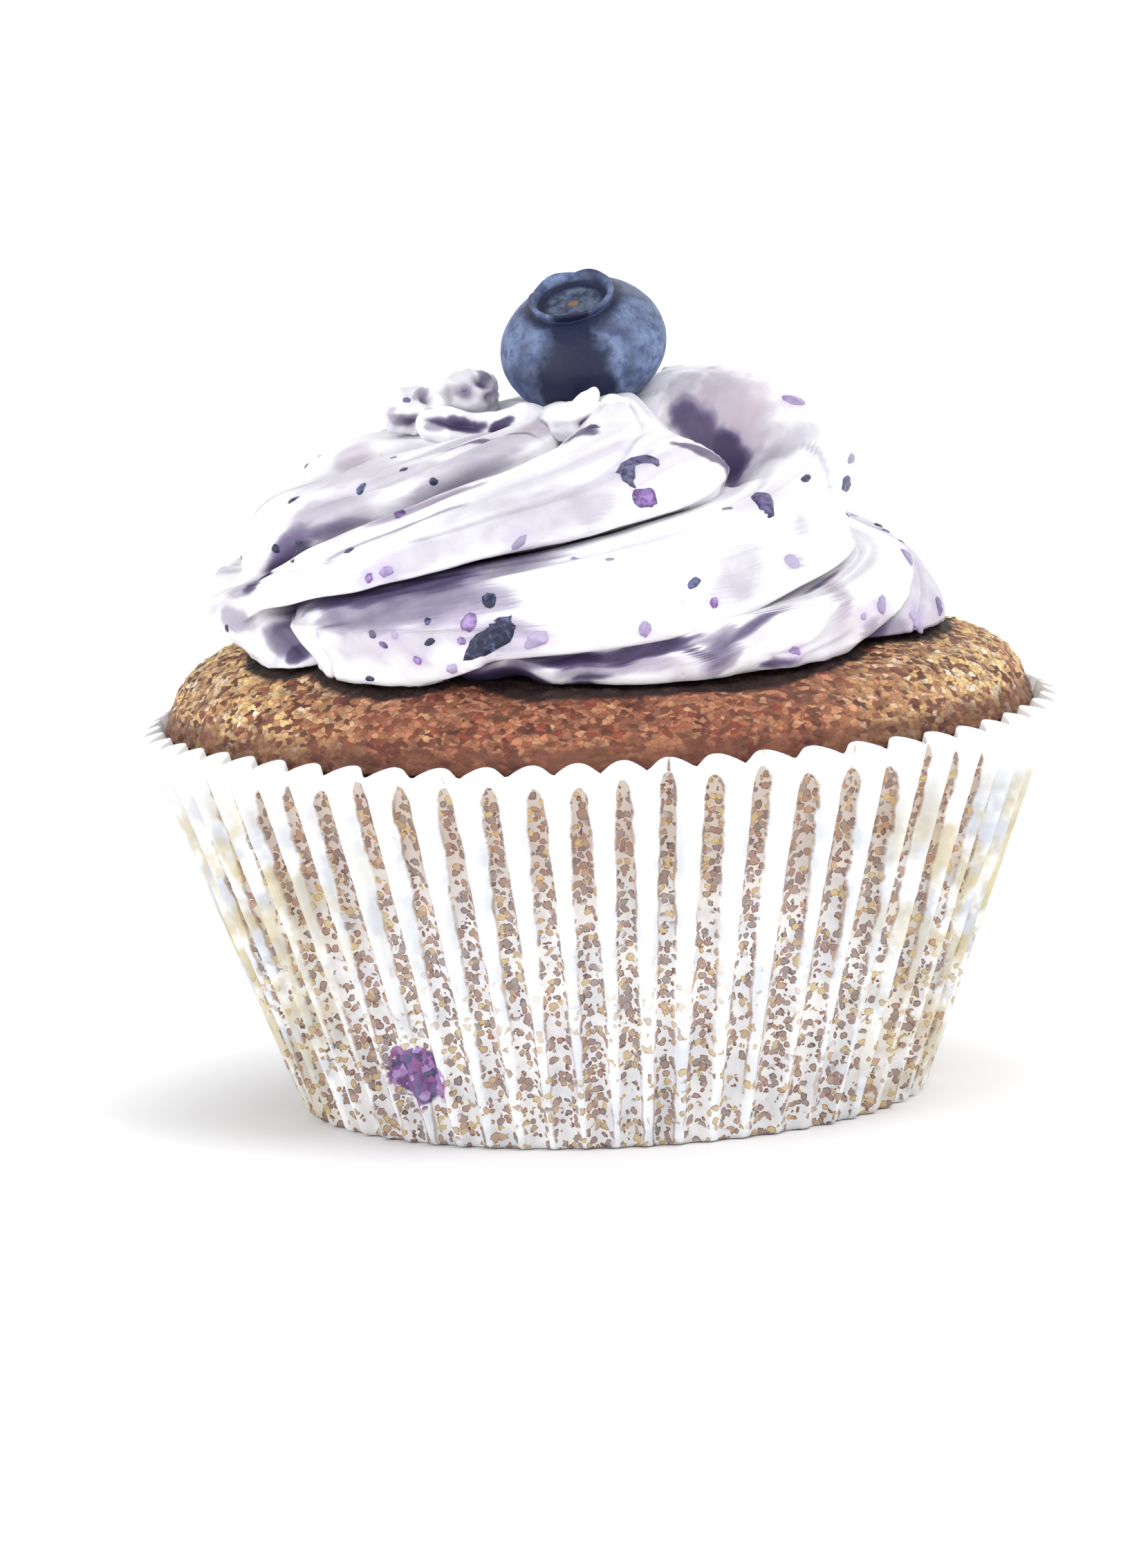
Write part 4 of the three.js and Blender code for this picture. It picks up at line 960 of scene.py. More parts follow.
def add_shades_and_tints(patches, tree):
    """Adds every patch of painted shade and tint to the tints of the piece of cream where it lies, in the
    swirl to its own roll only. The strongest patch counts."""
    for seed, (across, up, half_length, half_width, turn, wash, fold_shade, rose) in enumerate(PAINTED_SHADES_AND_TINTS):
        at, out = seen_at(tree, across, up, PATCH_REACH)
        away = [np.linalg.norm(patch[0] - at, axis=-1) for patch in patches]
        chosen = int(np.argmin([a.min() for a in away]))
        grid, _, _, tints = patches[chosen]
        columns = slice(None)
        if chosen == 0:
            roll = np.unravel_index(np.argmin(away[0]), away[0].shape)[1] // CREAM_STEPS
            columns = slice(roll * CREAM_STEPS, (roll + 1) * CREAM_STEPS)
        strength = stain(grid[:, columns], at, out, half_length, half_width, turn, 100 + 2 * seed)
        for key, share in (("wash", wash), ("fold_shade", fold_shade), ("rose", rose)):
            tints[key][:, columns] = np.maximum(tints[key][:, columns], share * strength)


def add_halos(patches, tree):
    """Adds the juice that tints the cream round each bit, fading with the distance from it."""
    for at, _, length, _, _, violet, pale, _ in all_bits(tree):
        strength = 0.2 + 0.5 * violet + 0.3 * pale
        for grid, _, _, tints in patches:
            near = np.linalg.norm(grid - at, axis=-1) / (0.55 * length + 0.3)
            tints["juice"] = np.maximum(tints["juice"], np.exp(-near ** 2) * strength)


def all_bits(tree):
    """Every bit as its place on the cream, the normal there, length, width, turn, violet, pale and
    bend: the ones that the front shows, and the others scattered by a seeded draw."""
    bits = []
    bends = [0.0] * len(FRONT_BITS) + [1 / CURVED_BIT_RADIUS]
    for (across, up, *form), bend in zip((*FRONT_BITS, CURVED_BIT), bends):
        bits.append((*seen_at(tree, across, up, np.clip(0.3 * form[0], 0.3, 1.0)), *form, bend))
    random = np.random.default_rng(11)
    for _ in range(sizes().scattered_bits):
        azimuth = math.radians(random.uniform(95, 262))
        height = 39 + 15 * random.random() ** 1.2
        length = random.choice((0.6, 0.8, 1.1, 1.5, 2.6), p=(0.3, 0.3, 0.22, 0.13, 0.05))
        width = length * random.uniform(0.55, 0.9)
        violet = (random.random() < 0.35) * random.uniform(0.6, 1)
        pale = (random.random() < 0.3) * random.uniform(0.3, 0.7)
        ray = -polar(1.0, azimuth, 0.0)
        found = landing(tree, polar(60.0, azimuth, height), ray, 0.5)
        bits.append((*found, length, width, random.uniform(0, 180), violet, pale, 0.0))
    return bits


def bit_patch(tree, seed, at, out, length, width, turn, violet, pale, bend):
    """One bit: a flat lens with an uneven outline and height, which may bend round an arc. Each of
    its points stands on the cream, where a line along the bit's normal meets it."""
    rings, sides = 9, 20
    drop = np.linspace(0.08, math.pi - 0.08, rings)[:, None]
    angle = np.arange(sides)[None, :] * FULL_TURN / sides
    circle = (np.cos(angle), np.sin(angle), 0 * angle)
    outline = np.stack([np.sign(f) * np.abs(f) ** 0.85 for f in circle], axis=-1)
    moved = 1.1 * outline + seed * np.array((0.37, 0.71, 1.0))
    ragged = 1 + 0.2 * noise(moved, 1.0, 81) + 0.14 * noise(moved * (2.7, 2.7, 1), 1.0, 84)
    x = 0.5 * length * np.sin(drop) * outline[..., 0] * ragged
    y = 0.5 * width * np.sin(drop) * outline[..., 1] * ragged
    if bend:
        x, y = (1 / bend + y) * np.sin(x * bend), (1 / bend + y) * np.cos(x * bend) - 1 / bend
    lump = 1 + 0.45 * noise(np.stack([x * 1.6, y * 1.6, 0 * x + seed], axis=-1), 1.0, 82)
    z = -min(width, 1.3) * (0.2 + 0.06 * violet - 0.1 * pale) * np.cos(drop) * lump - 0.02
    right, upward = surface_axes(out)
    c, s = cos_sin(turn)
    flat = at + (c * x - s * y)[..., None] * right + (s * x + c * y)[..., None] * upward
    grid = flat.copy()
    # a ray cast takes one line at a time
    for i in np.ndindex(rings, sides):
        hit = tree.ray_cast(Vector(flat[i] + BIT_REACH * out), Vector(-out), 2 * BIT_REACH)[0]
        if hit is not None:
            grid[i] = hit
    grid = grid + z[..., None] * out
    shade = np.full(grid.shape[:2], float(lattice_random(np.array((seed, 3, 5)), 83)))
    values = {"violet": np.clip(violet * (1.45 - 0.9 * np.sin(drop)), 0, 1) + 0 * x, "pale": pale + 0 * x,
              "shade": shade}
    return grid, grid[0].mean(axis=0), grid[-1].mean(axis=0), values


# ---- blueberry ----

BERRY_COLUMNS = 260
BERRY_ROWS = 150
# outline of the crown: radius against the crown's, height against the shoulder, and how far the
# points of the crown move it. The first ones are its rim, the others its inner wall and the disc.
CROWN_PROFILE = np.array([
    (0.04, 0.12, 0.0), (0.1, 0.3, 0.1), (0.14, 0.5, 0.35), (0.14, 0.66, 0.7), (0.1, 0.74, 0.95),
    (0.0, 0.78, 1.0), (-0.14, 0.76, 1.0), (-0.26, 0.66, 0.85), (-0.34, 0.46, 0.5), (-0.4, 0.2, 0.25),
    (-0.5, -0.1, 0.1), (-0.62, -0.3, 0.0), (-0.85, -0.42, 0.0), (-1.3, -0.4, 0.0), (-1.8, -0.36, 0.0),
    (-2.3, -0.36, 0.0), (-2.7, -0.42, 0.0), (-2.9, -0.5, 0.0), (-3.1, -0.46, 0.0), (-3.3, -0.4, 0.0),
])
CROWN_RIM_ROWS = 10


def berry_patch():
    """Rings of the berry about its own axis from the stem end up: an oblate body, the pointed rim
    of the crown, the ring's inner wall and the sunken disc. The whole is turned onto its axis."""
    radius = sizes().berry_radius / MM
    azimuth = np.arange(BERRY_COLUMNS)[None, :] * FULL_TURN / BERRY_COLUMNS
    crown_angle = math.asin(CROWN_R / radius)
    body = np.linspace(math.pi - 0.02, crown_angle, BERRY_ROWS)[:, None]
    r = radius * np.sin(body) + 0 * azimuth
    z = BERRY_HALF_HEIGHT * np.cos(body) + 0 * azimuth
    shoulder = BERRY_HALF_HEIGHT * math.cos(crown_angle)
    points = (0.55 * np.abs(np.cos(2.5 * azimuth + 0.4)) ** 0.7 + 0.14 * np.sin(7 * azimuth + 2) - 0.1)
    crown_r = CROWN_R + CROWN_PROFILE[:, :1] + 0.3 * CROWN_PROFILE[:, 2:] * points
    crown_z = shoulder + 0.75 * CROWN_PROFILE[:, 1:2] + 0.3 * CROWN_PROFILE[:, 2:] * points
    r = np.concatenate([r, crown_r])
    z = np.concatenate([z, crown_z])
    grid = polar(r, azimuth, z)
    row = np.arange(len(grid))[:, None]
    on_body = row < BERRY_ROWS
    lumps = 0.1 * noise(grid, 3.2, 91) + 0.02 * noise(grid, 0.8, 92)
    pinch = 0.16 * np.exp(-((((azimuth + 0.1 + math.pi) % FULL_TURN - math.pi) / 0.35) ** 2))
    grid = grid + unit(grid) * ((lumps - pinch * smoothstep(-6, 3, z)) * on_body)[..., None]
    disc = (row >= BERRY_ROWS + CROWN_RIM_ROWS) + 0 * azimuth
    grid[..., 2] += 0.05 * noise(grid * (1, 1, 0), 0.7, 93) * disc
    # the ring round the foot of the crown, and the front, are where the berry's material paints shade
    ring = np.exp(-(((r - CROWN_R - 0.35) / 0.55) ** 2)) * smoothstep(0, 3, z) * (z < shoulder + 0.2)
    values = {"disc": disc, "ring": ring, "front": np.cos(azimuth + 0.1) + 0 * r,
              "up": z / BERRY_HALF_HEIGHT, "reach": r / radius}
    turned = np.array(Vector((0, 0, 1)).rotation_difference(BERRY_AXIS).to_matrix())
    grid = grid @ turned.T + BERRY_CENTRE
    bottom = BERRY_CENTRE - turned @ np.array((0, 0, BERRY_HALF_HEIGHT))
    return grid, bottom, grid[-1].mean(axis=0), values


# ---- materials ----

class Field:
    """A value, vector or colour that changes over the surface. Each sum, product or other step puts
    one Math node into the tree."""

    def __init__(self, nodes, socket):
        self.nodes = nodes
        self.socket = socket

    def __add__(self, other):
        return self.nodes.math("ADD", self, other)

    def __sub__(self, other):
        return self.nodes.math("SUBTRACT", self, other)

    def __rsub__(self, other):
        return self.nodes.math("SUBTRACT", other, self)

    def __mul__(self, other):
        return self.nodes.math("MULTIPLY", self, other)

    def __pow__(self, power):
        return self.nodes.math("POWER", self, power)

    def __abs__(self):
        return self.nodes.math("ABSOLUTE", self)

    __radd__ = __add__
    __rmul__ = __mul__

    def at_least(self, other):
        """The larger of two."""
        return self.nodes.math("MAXIMUM", self, other)

    def at_most(self, other):
        """The smaller of two."""
        return self.nodes.math("MINIMUM", self, other)

    def clamped(self):
        """The same value, held between 0 and 1 by the node that makes it."""
        self.socket.node.use_clamp = True
        return self


def opaque(tone):
    """A colour of three numbers with full alpha; a field stays as it is."""
    return tone if isinstance(tone, Field) else (*tone, 1.0)


class Nodes:
    """Short way to add nodes to a tree and link them."""

    def __init__(self, tree):
        self.tree = tree

    def feed(self, node, inputs):
        """Sets a node's inputs, or links the ones that are given as fields."""
        for key, value in inputs.items():
            if isinstance(value, Field):
                self.tree.links.new(value.socket, node.inputs[key])
            else:
                node.inputs[key].default_value = value
        return node

    def add(self, kind, inputs=None, **settings):
        """A node with its settings and inputs."""
        node = self.tree.nodes.new(kind)
        for key, value in settings.items():
            setattr(node, key, value)
        return self.feed(node, inputs or {})

    def field(self, node, key):
        """One output of a node."""
        return Field(self, node.outputs[key])

    def values(self, *keys):
        """The float attributes of the mesh that have these names."""
        return [self.field(self.add("ShaderNodeAttribute", attribute_name=key), "Fac") for key in keys]

    def place(self):
        """Object coordinates, in metres."""
        return self.field(self.add("ShaderNodeTexCoord"), "Object")

    def math(self, operation, a, b=0.0):
        """A step on values."""
        return self.field(self.add("ShaderNodeMath", {0: a, 1: b}, operation=operation), 0)

    def vector(self, operation, a, b=(0, 0, 0), output="Vector"):
        """A step on vectors."""
        return self.field(self.add("ShaderNodeVectorMath", {0: a, 1: b}, operation=operation), output)

    def split(self, kind, source):
        """The three numbers of a vector, for the kind XYZ, or of a colour, for the kind Color."""
        node = self.add("ShaderNodeSeparate" + kind, {0: source})
        return [self.field(node, k) for k in range(3)]

    def smooth(self, x, low, high):
        """0 below low and 1 above high, or the other way round."""
        node = self.add("ShaderNodeMapRange", {"Value": x, "From Min": low, "From Max": high},
                        interpolation_type="SMOOTHSTEP")
        return self.field(node, "Result")

    def mix(self, factor, a, b):
        """Mix of two colours."""
        inputs = {0: factor, 6: opaque(a), 7: opaque(b)}
        return self.field(self.add("ShaderNodeMix", inputs, data_type="RGBA"), 2)

    def ramp(self, value, stops):
        """Colour of a value, from stops of (position, colour)."""
        node = self.add("ShaderNodeValToRGB", {0: value})
        elements = node.color_ramp.elements
        for end in (0, -1):
            elements[end].position = stops[end][0]
            elements[end].color = opaque(stops[end][1])
        for position, tone in stops[1:-1]:
            elements.new(position).color = opaque(tone)
        return self.field(node, "Color")

    def noise(self, scale, detail=3.0, roughness=0.55):
        """Noise from 0 to 1 on object coordinates; scale counts features to the metre."""
        inputs = {"Scale": scale, "Detail": detail, "Roughness": roughness, "Vector": self.place()}
        return self.field(self.add("ShaderNodeTexNoise", inputs), "Fac")

    def bump(self, height, strength, distance):
        """Normal from a height in metres times distance."""
        inputs = {"Height": height, "Strength": strength, "Distance": distance}
        return self.field(self.add("ShaderNodeBump", inputs), "Normal")

    def group(self, name, make, inputs):
        """Outputs by name of a node group, which is made when it is first needed."""
        tree = bpy.data.node_groups.get(name) or make()
        node = self.add("ShaderNodeGroup", inputs, node_tree=tree)
        return {output.name: Field(self, output) for output in node.outputs}

    def mottled(self, tone, tint, scale, amount):
        """A colour with a soft uneven tint."""
        inputs = {"Colour": opaque(tone), "Tint": opaque(tint), "Scale": scale, "Amount": amount}
        return self.group("Mottle", mottle_group, inputs)["Colour"]

    def speckles(self, scale, place):
        """Crumb-sized speckles at a place."""
        return self.group("Speckle", speckle_group, {"Scale": scale, "Vector": place})


def new_group(name, inputs, outputs):
    """Empty shader node group from its sockets' names and kinds: its tree, its nodes, its inputs as
    fields and its output node."""
    tree = bpy.data.node_groups.new(name, "ShaderNodeTree")
    for side, sockets in (("INPUT", inputs), ("OUTPUT", outputs)):
        for key, kind in sockets.items():
            tree.interface.new_socket(name=key, in_out=side, socket_type="NodeSocket" + kind)
    nodes = Nodes(tree)
    given = {output.name: Field(nodes, output) for output in nodes.add("NodeGroupInput").outputs}
    return tree, nodes, given, nodes.add("NodeGroupOutput")


def mottle_group():
    """Soft uneven tint: two colours mixed by broad and by fine noise."""
    tree, nodes, given, output = new_group(
        "Mottle", {"Colour": "Color", "Tint": "Color", "Scale": "Float", "Amount": "Float"},
        {"Colour": "Color"})
    broad = nodes.noise(given["Scale"], detail=2.0)
    fine = nodes.noise(given["Scale"] * 7.0)
    mask = (nodes.smooth(broad * 0.75 + fine * 0.25, 0.38, 0.62) * given["Amount"]).clamped()
    nodes.feed(output, {"Colour": nodes.mix(mask, given["Colour"], given["Tint"])})
    return tree


SPECKLE_SHIFT = (0.0007, 0.0007, 0.0007)     # how far noise moves the edges of the grains, in metres


def speckle_group():
    """Crumb-sized speckles: two random numbers for each grain of a Voronoi pattern, the distance to
    the grain's middle, and a line along the grains' edges."""
    tree, nodes, given, output = new_group(
        "Speckle", {"Scale": "Float", "Vector": "Vector"},
        {"Number": "Float", "Second": "Float", "Distance": "Float", "Edge": "Float"})
    wander = nodes.add("ShaderNodeTexNoise", {
        "Scale": given["Scale"] * 0.9, "Vector": given["Vector"], "Detail": 2.0})
    shift = nodes.vector("MULTIPLY", nodes.field(wander, "Color"), SPECKLE_SHIFT)
    pattern = {"Scale": given["Scale"], "Vector": nodes.vector("ADD", given["Vector"], shift)}
    cells = nodes.add("ShaderNodeTexVoronoi", pattern)
    edges = nodes.add("ShaderNodeTexVoronoi", pattern, feature="DISTANCE_TO_EDGE")
    number, second, _ = nodes.split("Color", nodes.field(cells, "Color"))
    nodes.feed(output, {
        "Number": number,
        "Second": second,
        "Distance": nodes.field(cells, "Distance"),
        "Edge": nodes.smooth(nodes.field(edges, "Distance"), 0.13, 0.02),
    })
    return tree


def new_material(name):
    """Material, its nodes and its Principled shader."""
    material = bpy.data.materials.new(name)
    material.use_nodes = True
    return material, Nodes(material.node_tree), material.node_tree.nodes["Principled BSDF"]


# tones of the paper, linear: its own shading, its washes, of which the blue-grey one is painted shade, and
# what soaks into it
PAPER_SHADE = (0.66, 0.69, 0.75)
PAPER_BLUE_SHADE = (0.4, 0.44, 0.52)
PAPER_YELLOW = (0.5, 0.4, 0.15)
PAPER_INSIDE = (0.7, 0.6, 0.5)
GREASE = (0.36, 0.255, 0.175)
GREASE_EDGE = (0.29, 0.18, 0.11)
DOT_EDGE = (0.12, 0.065, 0.05)
DOT_TONES = (
    (0.25, (0.22, 0.155, 0.125)), (0.4, (0.1, 0.047, 0.032)), (0.52, (0.27, 0.112, 0.058)),
    (0.64, (0.15, 0.07, 0.042)), (0.78, (0.36, 0.18, 0.09)), (0.9, (0.46, 0.31, 0.1)),
    (1.0, (0.55, 0.39, 0.14)),
)
JUICE_TONES = (
    (0.0, (0.025, 0.03, 0.11)), (0.4, (0.1, 0.045, 0.2)), (0.7, (0.24, 0.05, 0.22)),
    (1.0, (0.42, 0.3, 0.6)),
)


def grease_columns(nodes, flute, number, below):
    """The stain in each groove, round at its top and wider towards the foot: how far below its top
    a point is, how far outside its ragged edge, and 1 within it."""
    deep = below - (1.1 + 1.3 * number)
    half = (deep.at_least(0.0) ** 0.5 * 0.42).at_most(0.38 + 0.015 * deep)
    ragged = 0.4 * (nodes.noise(500.0) - 0.5)
    outward = flute + ragged - half * (0.72 + 0.5 * number)
    return deep, outward, nodes.smooth(outward, 0.07, -0.07)


def grease_dots(nodes, spots, deep, stain):
    """Brown, grey and ochre dots where crumbs soak through: how strongly they show, in the stains
    and scattered over all the paper towards the foot, and their colour, darker round the edge."""
    chance = spots["Number"] + 0.7 * (nodes.noise(330.0, 2.0) - 0.5)
    shown = nodes.smooth(chance - 0.009 * deep, 0.02, 0.08)
    beyond = spots["Distance"] - (0.42 + 0.3 * spots["Second"])
    outline = nodes.smooth(abs(beyond + 0.07), 0.09, 0.02)
    scattered = nodes.smooth(deep, 10.0, 26.0) * nodes.smooth(chance, 0.72, 0.8)
    where = (stain * shown).at_least(scattered)
    dot = where * nodes.smooth(beyond, 0.03, -0.04) * (0.75 + 0.25 * outline)
    return dot, nodes.mix(0.4 * outline, nodes.ramp(spots["Number"], DOT_TONES), DOT_EDGE)


def paper_material():
    """White baking paper: clean ridges, and grooves stained by grease and dots. Thin blue-grey painted shade
    towards the foot and the sides, yellow tints at the sides, and one spot of berry juice."""
    material, nodes, shader = new_material("Baking paper")
    place = nodes.place()
    flute, number, below, inside, juice = nodes.values("flute", "number", "below", "inside", "juice")
    deep, outward, stain = grease_columns(nodes, flute, number, below)
    side = nodes.smooth(abs(nodes.split("XYZ", place)[0]), 0.014, 0.031)
    # washes over the clean paper: painted blue-grey shade lower down and towards the sides, and yellow tints
    # at the sides
    clean = nodes.mottled(colours().paper, PAPER_SHADE, 130.0, 0.4)
    blue_grey_shade = nodes.smooth(below, 0.5, 8.0) * nodes.smooth(nodes.noise(300.0), 0.4, 0.62)
    cool_shaded = nodes.mix(0.7 * (blue_grey_shade * (0.5 + 0.5 * side)), clean, PAPER_BLUE_SHADE)
    golden = side * (nodes.smooth(below, 1.5, 9.0) * nodes.smooth(nodes.noise(260.0), 0.42, 0.6))
    yellow = nodes.mix(0.7 * golden, cool_shaded, PAPER_YELLOW)
    # grease in the grooves, with a line along its edge here and there, and dots on it
    soaked_in = (stain * (0.22 + nodes.smooth(deep, 16.0, 0.0))).clamped()
    greasy = nodes.mix(0.7 * soaked_in, yellow, GREASE)
    line = nodes.smooth(abs(outward), 0.09, 0.02) * nodes.smooth(deep, 0.0, 1.5)
    broken_line = line * nodes.smooth(nodes.noise(150.0, 2.0), 0.45, 0.7)
    lined = nodes.mix(0.7 * broken_line, greasy, GREASE_EDGE)
    dot, dot_tone = grease_dots(nodes, nodes.speckles(1600.0, place), deep, stain)
    dotted = nodes.mix(dot, lined, dot_tone)
    # the spot of berry juice, in small dabs
    dabs = nodes.speckles(1700.0, place)["Number"]
    soak_and_shadow = nodes.smooth(juice + 0.7 * (dabs - 0.6), 0.25, 0.5)
    juicy = nodes.mix(0.9 * soak_and_shadow, dotted, nodes.ramp(dabs, JUICE_TONES))
    nodes.feed(shader, {
        "Base Color": nodes.mix(0.15 * inside, juicy, PAPER_INSIDE),
        "Roughness": 0.78 - 0.2 * stain,
        "Normal": nodes.bump(nodes.noise(2600.0, 4.0, 0.5), 0.25, 0.00008),
        "Specular IOR Level": 0.35,
    })
    return material


# tones of the crust, linear
CRUMB_TONES = (
    (0.0, (0.07, 0.022, 0.015)), (0.14, (0.13, 0.042, 0.027)), (0.26, (0.22, 0.03, 0.022)),
    (0.4, (0.36, 0.125, 0.062)), (0.54, (0.2, 0.075, 0.045)), (0.66, (0.55, 0.23, 0.135)),
    (0.82, (0.42, 0.17, 0.088)), (1.0, (0.66, 0.37, 0.2)),
)
CRUST_SIDE_HIGHLIGHT = (0.92, 0.64, 0.29)
CRUST_HIGHLIGHT_FLECKS = (0.86, 0.8, 0.62)
CRUST_RED = (0.085, 0.022, 0.018)
CRUST_LINE = (0.09, 0.03, 0.02)
CRUST_DARK = (0.07, 0.026, 0.018)
CRUST_CREAM_SHADOW = (0.014, 0.008, 0.009)
CRUMB_STRETCH = (0.8, 0.8, 1.25)     # the crumbs are wider than they are tall


def crust_material():
    """Baked crust: crumb-sized speckles of tan, sienna, dark brown and dark red, with a painted highlight
    that turns it golden towards the sides, red-brown along the rim of the case, and a painted shadow, nearly
    black, close to the cream."""
    material, nodes, shader = new_material("Baked crust")
    place = nodes.place()
    spots = nodes.speckles(1900.0, nodes.vector("MULTIPLY", place, CRUMB_STRETCH))
    crumb, soak_and_shadow = nodes.values("crumb", "soak_and_shadow")
    x, _, z = nodes.split("XYZ", place)
    # painted highlight: paler and golden towards the sides, with whitish flecks
    patch = nodes.smooth(nodes.noise(210.0), 0.36, 0.58)
    golden = nodes.smooth(abs(x), 0.015, 0.03) * (0.5 + 0.5 * patch)
    pale = (golden * nodes.smooth(spots["Number"], 0.12, 0.55)).clamped()
    toned = nodes.mix(pale, nodes.ramp(spots["Number"], CRUMB_TONES), CRUST_SIDE_HIGHLIGHT)
    crumbs = (golden * nodes.smooth(spots["Number"], 0.84, 0.92)).clamped()
    whitish = nodes.mix(crumbs, toned, CRUST_HIGHLIGHT_FLECKS)
    low = nodes.smooth(z + 0.0016 * nodes.noise(500.0, 2.0), 0.0352, 0.0336)
    red = nodes.mix(0.75 * low, whitish, CRUST_RED)
    lined = nodes.mix(0.5 * spots["Edge"], red, CRUST_LINE)
    dark = nodes.mix(0.5 * nodes.smooth(crumb, 0.2, -0.3), lined, CRUST_DARK)
    tinted = nodes.mottled(dark, colours().crust, 240.0, 0.22)
    nodes.feed(shader, {
        # painted shadow, near black, close to the cream
        "Base Color": nodes.mix(0.95 * soak_and_shadow, tinted, CRUST_CREAM_SHADOW),
        "Roughness": 0.62 + 0.25 * spots["Number"],
        "Normal": nodes.bump(nodes.noise(3200.0, 4.0) - spots["Distance"], 0.6, 0.0002),
        "Specular IOR Level": 0.3,
    })
    return material


# tones of the cream, linear; the grey and the violet are painted shade
CREAM_WARM = (0.7, 0.68, 0.72)
CREAM_SHADE_GREY = (0.2, 0.18, 0.255)
CREAM_ROSY = (0.45, 0.34, 0.42)
CREAM_FOLD_SHADE = (0.125, 0.1, 0.19)
CREAM_HALO = (0.42, 0.28, 0.6)


def cream_material():
    """Whipped berry cream: nearly white, with grey-lilac washes along the rolls that are partly tint and
    partly painted shade, painted violet shade in the folds that goes near black where deepest, purple juice
    round the bits, rosy tints in the scoop, and with small air holes."""
    material, nodes, shader = new_material("Berry cream")
    fold_shade, juice, wash, rose = nodes.values("fold_shade", "juice", "wash", "rose")
    warm = nodes.mottled(colours().cream, CREAM_WARM, 150.0, 0.4)
    uneven = 0.5 + nodes.noise(260.0, 4.0)
    broken = (wash * uneven).clamped()
    # grey-lilac washes, partly a lilac tint and partly painted shade
    thin = nodes.mix(nodes.smooth(broken, 0.02, 0.65), warm, colours().lilac)
    washed = nodes.mix(nodes.smooth(broken, 0.6, 1.15), thin, CREAM_SHADE_GREY)
    rosy = nodes.mix((0.65 * (rose * uneven)).clamped(), washed, CREAM_ROSY)
    # painted shade in the folds: violet, and near black where the fold is deepest
    depth = (fold_shade * uneven).clamped()
    violet = nodes.mix(nodes.smooth(depth, 0.04, 0.55), rosy, CREAM_FOLD_SHADE)
    deep = nodes.mix(nodes.smooth(depth, 0.35, 0.9), violet, colours().juice)
    # air holes in a few of the cells
    cells = nodes.add("ShaderNodeTexVoronoi", {"Scale": 900.0, "Vector": nodes.place()})
    chosen = nodes.smooth(nodes.split("Color", nodes.field(cells, "Color"))[0], 0.8, 0.9)
    pit = nodes.smooth(nodes.field(cells, "Distance"), 0.28, 0.12) * chosen
    soft = nodes.noise(700.0, 4.0)
    nodes.feed(shader, {
        "Base Color": nodes.mix(0.6 * juice, deep, CREAM_HALO),
        "Roughness": 0.38 + 0.18 * soft,
        "Normal": nodes.bump(0.5 * soft - 0.4 * pit, 0.35, 0.0003),
        "Subsurface Weight": 0.2,
        "Subsurface Scale": 0.001,
        "Subsurface Radius": (1.0, 0.8, 1.0),
        "Specular IOR Level": 0.4,
    })
    return material


# tones of the bits, linear
BIT_BLOOM = (0.11, 0.12, 0.24)
PULP_DARK = (0.13, 0.04, 0.22)
PULP_PALE = (0.38, 0.23, 0.55)
BIT_COVERED = (0.5, 0.46, 0.62)


def bit_material():
    """Bits of skin: dark blue-black with a thin bloom, violet where the pulp shows, and pale where
    cream lies over them."""
    material, nodes, shader = new_material("Bits of skin")
    violet, pale, shade = nodes.values("violet", "pale", "shade")
    fine = nodes.noise(1900.0)
    skin = nodes.mix(nodes.smooth(fine + 0.3 * shade, 0.55, 0.9), colours().skin, BIT_BLOOM)
    pulp = nodes.mix(nodes.smooth(fine, 0.35, 0.65), PULP_DARK, PULP_PALE)
    nodes.feed(shader, {
        "Base Color": nodes.mix(pale, nodes.mix(violet, skin, pulp), BIT_COVERED),
        "Roughness": 0.36 + 0.3 * fine,
        "Normal": nodes.bump(fine, 0.4, 0.0002),
    })
    return material


# tones of the berry, linear
BLOOM_THIN = (0.075, 0.105, 0.22)
BERRY_ROYAL = (0.02, 0.035, 0.16)
DISC_DARK = (0.03, 0.04, 0.075)
DISC_GREY = (0.12, 0.15, 0.22)
SCAR_BROWN = (0.24, 0.13, 0.07)


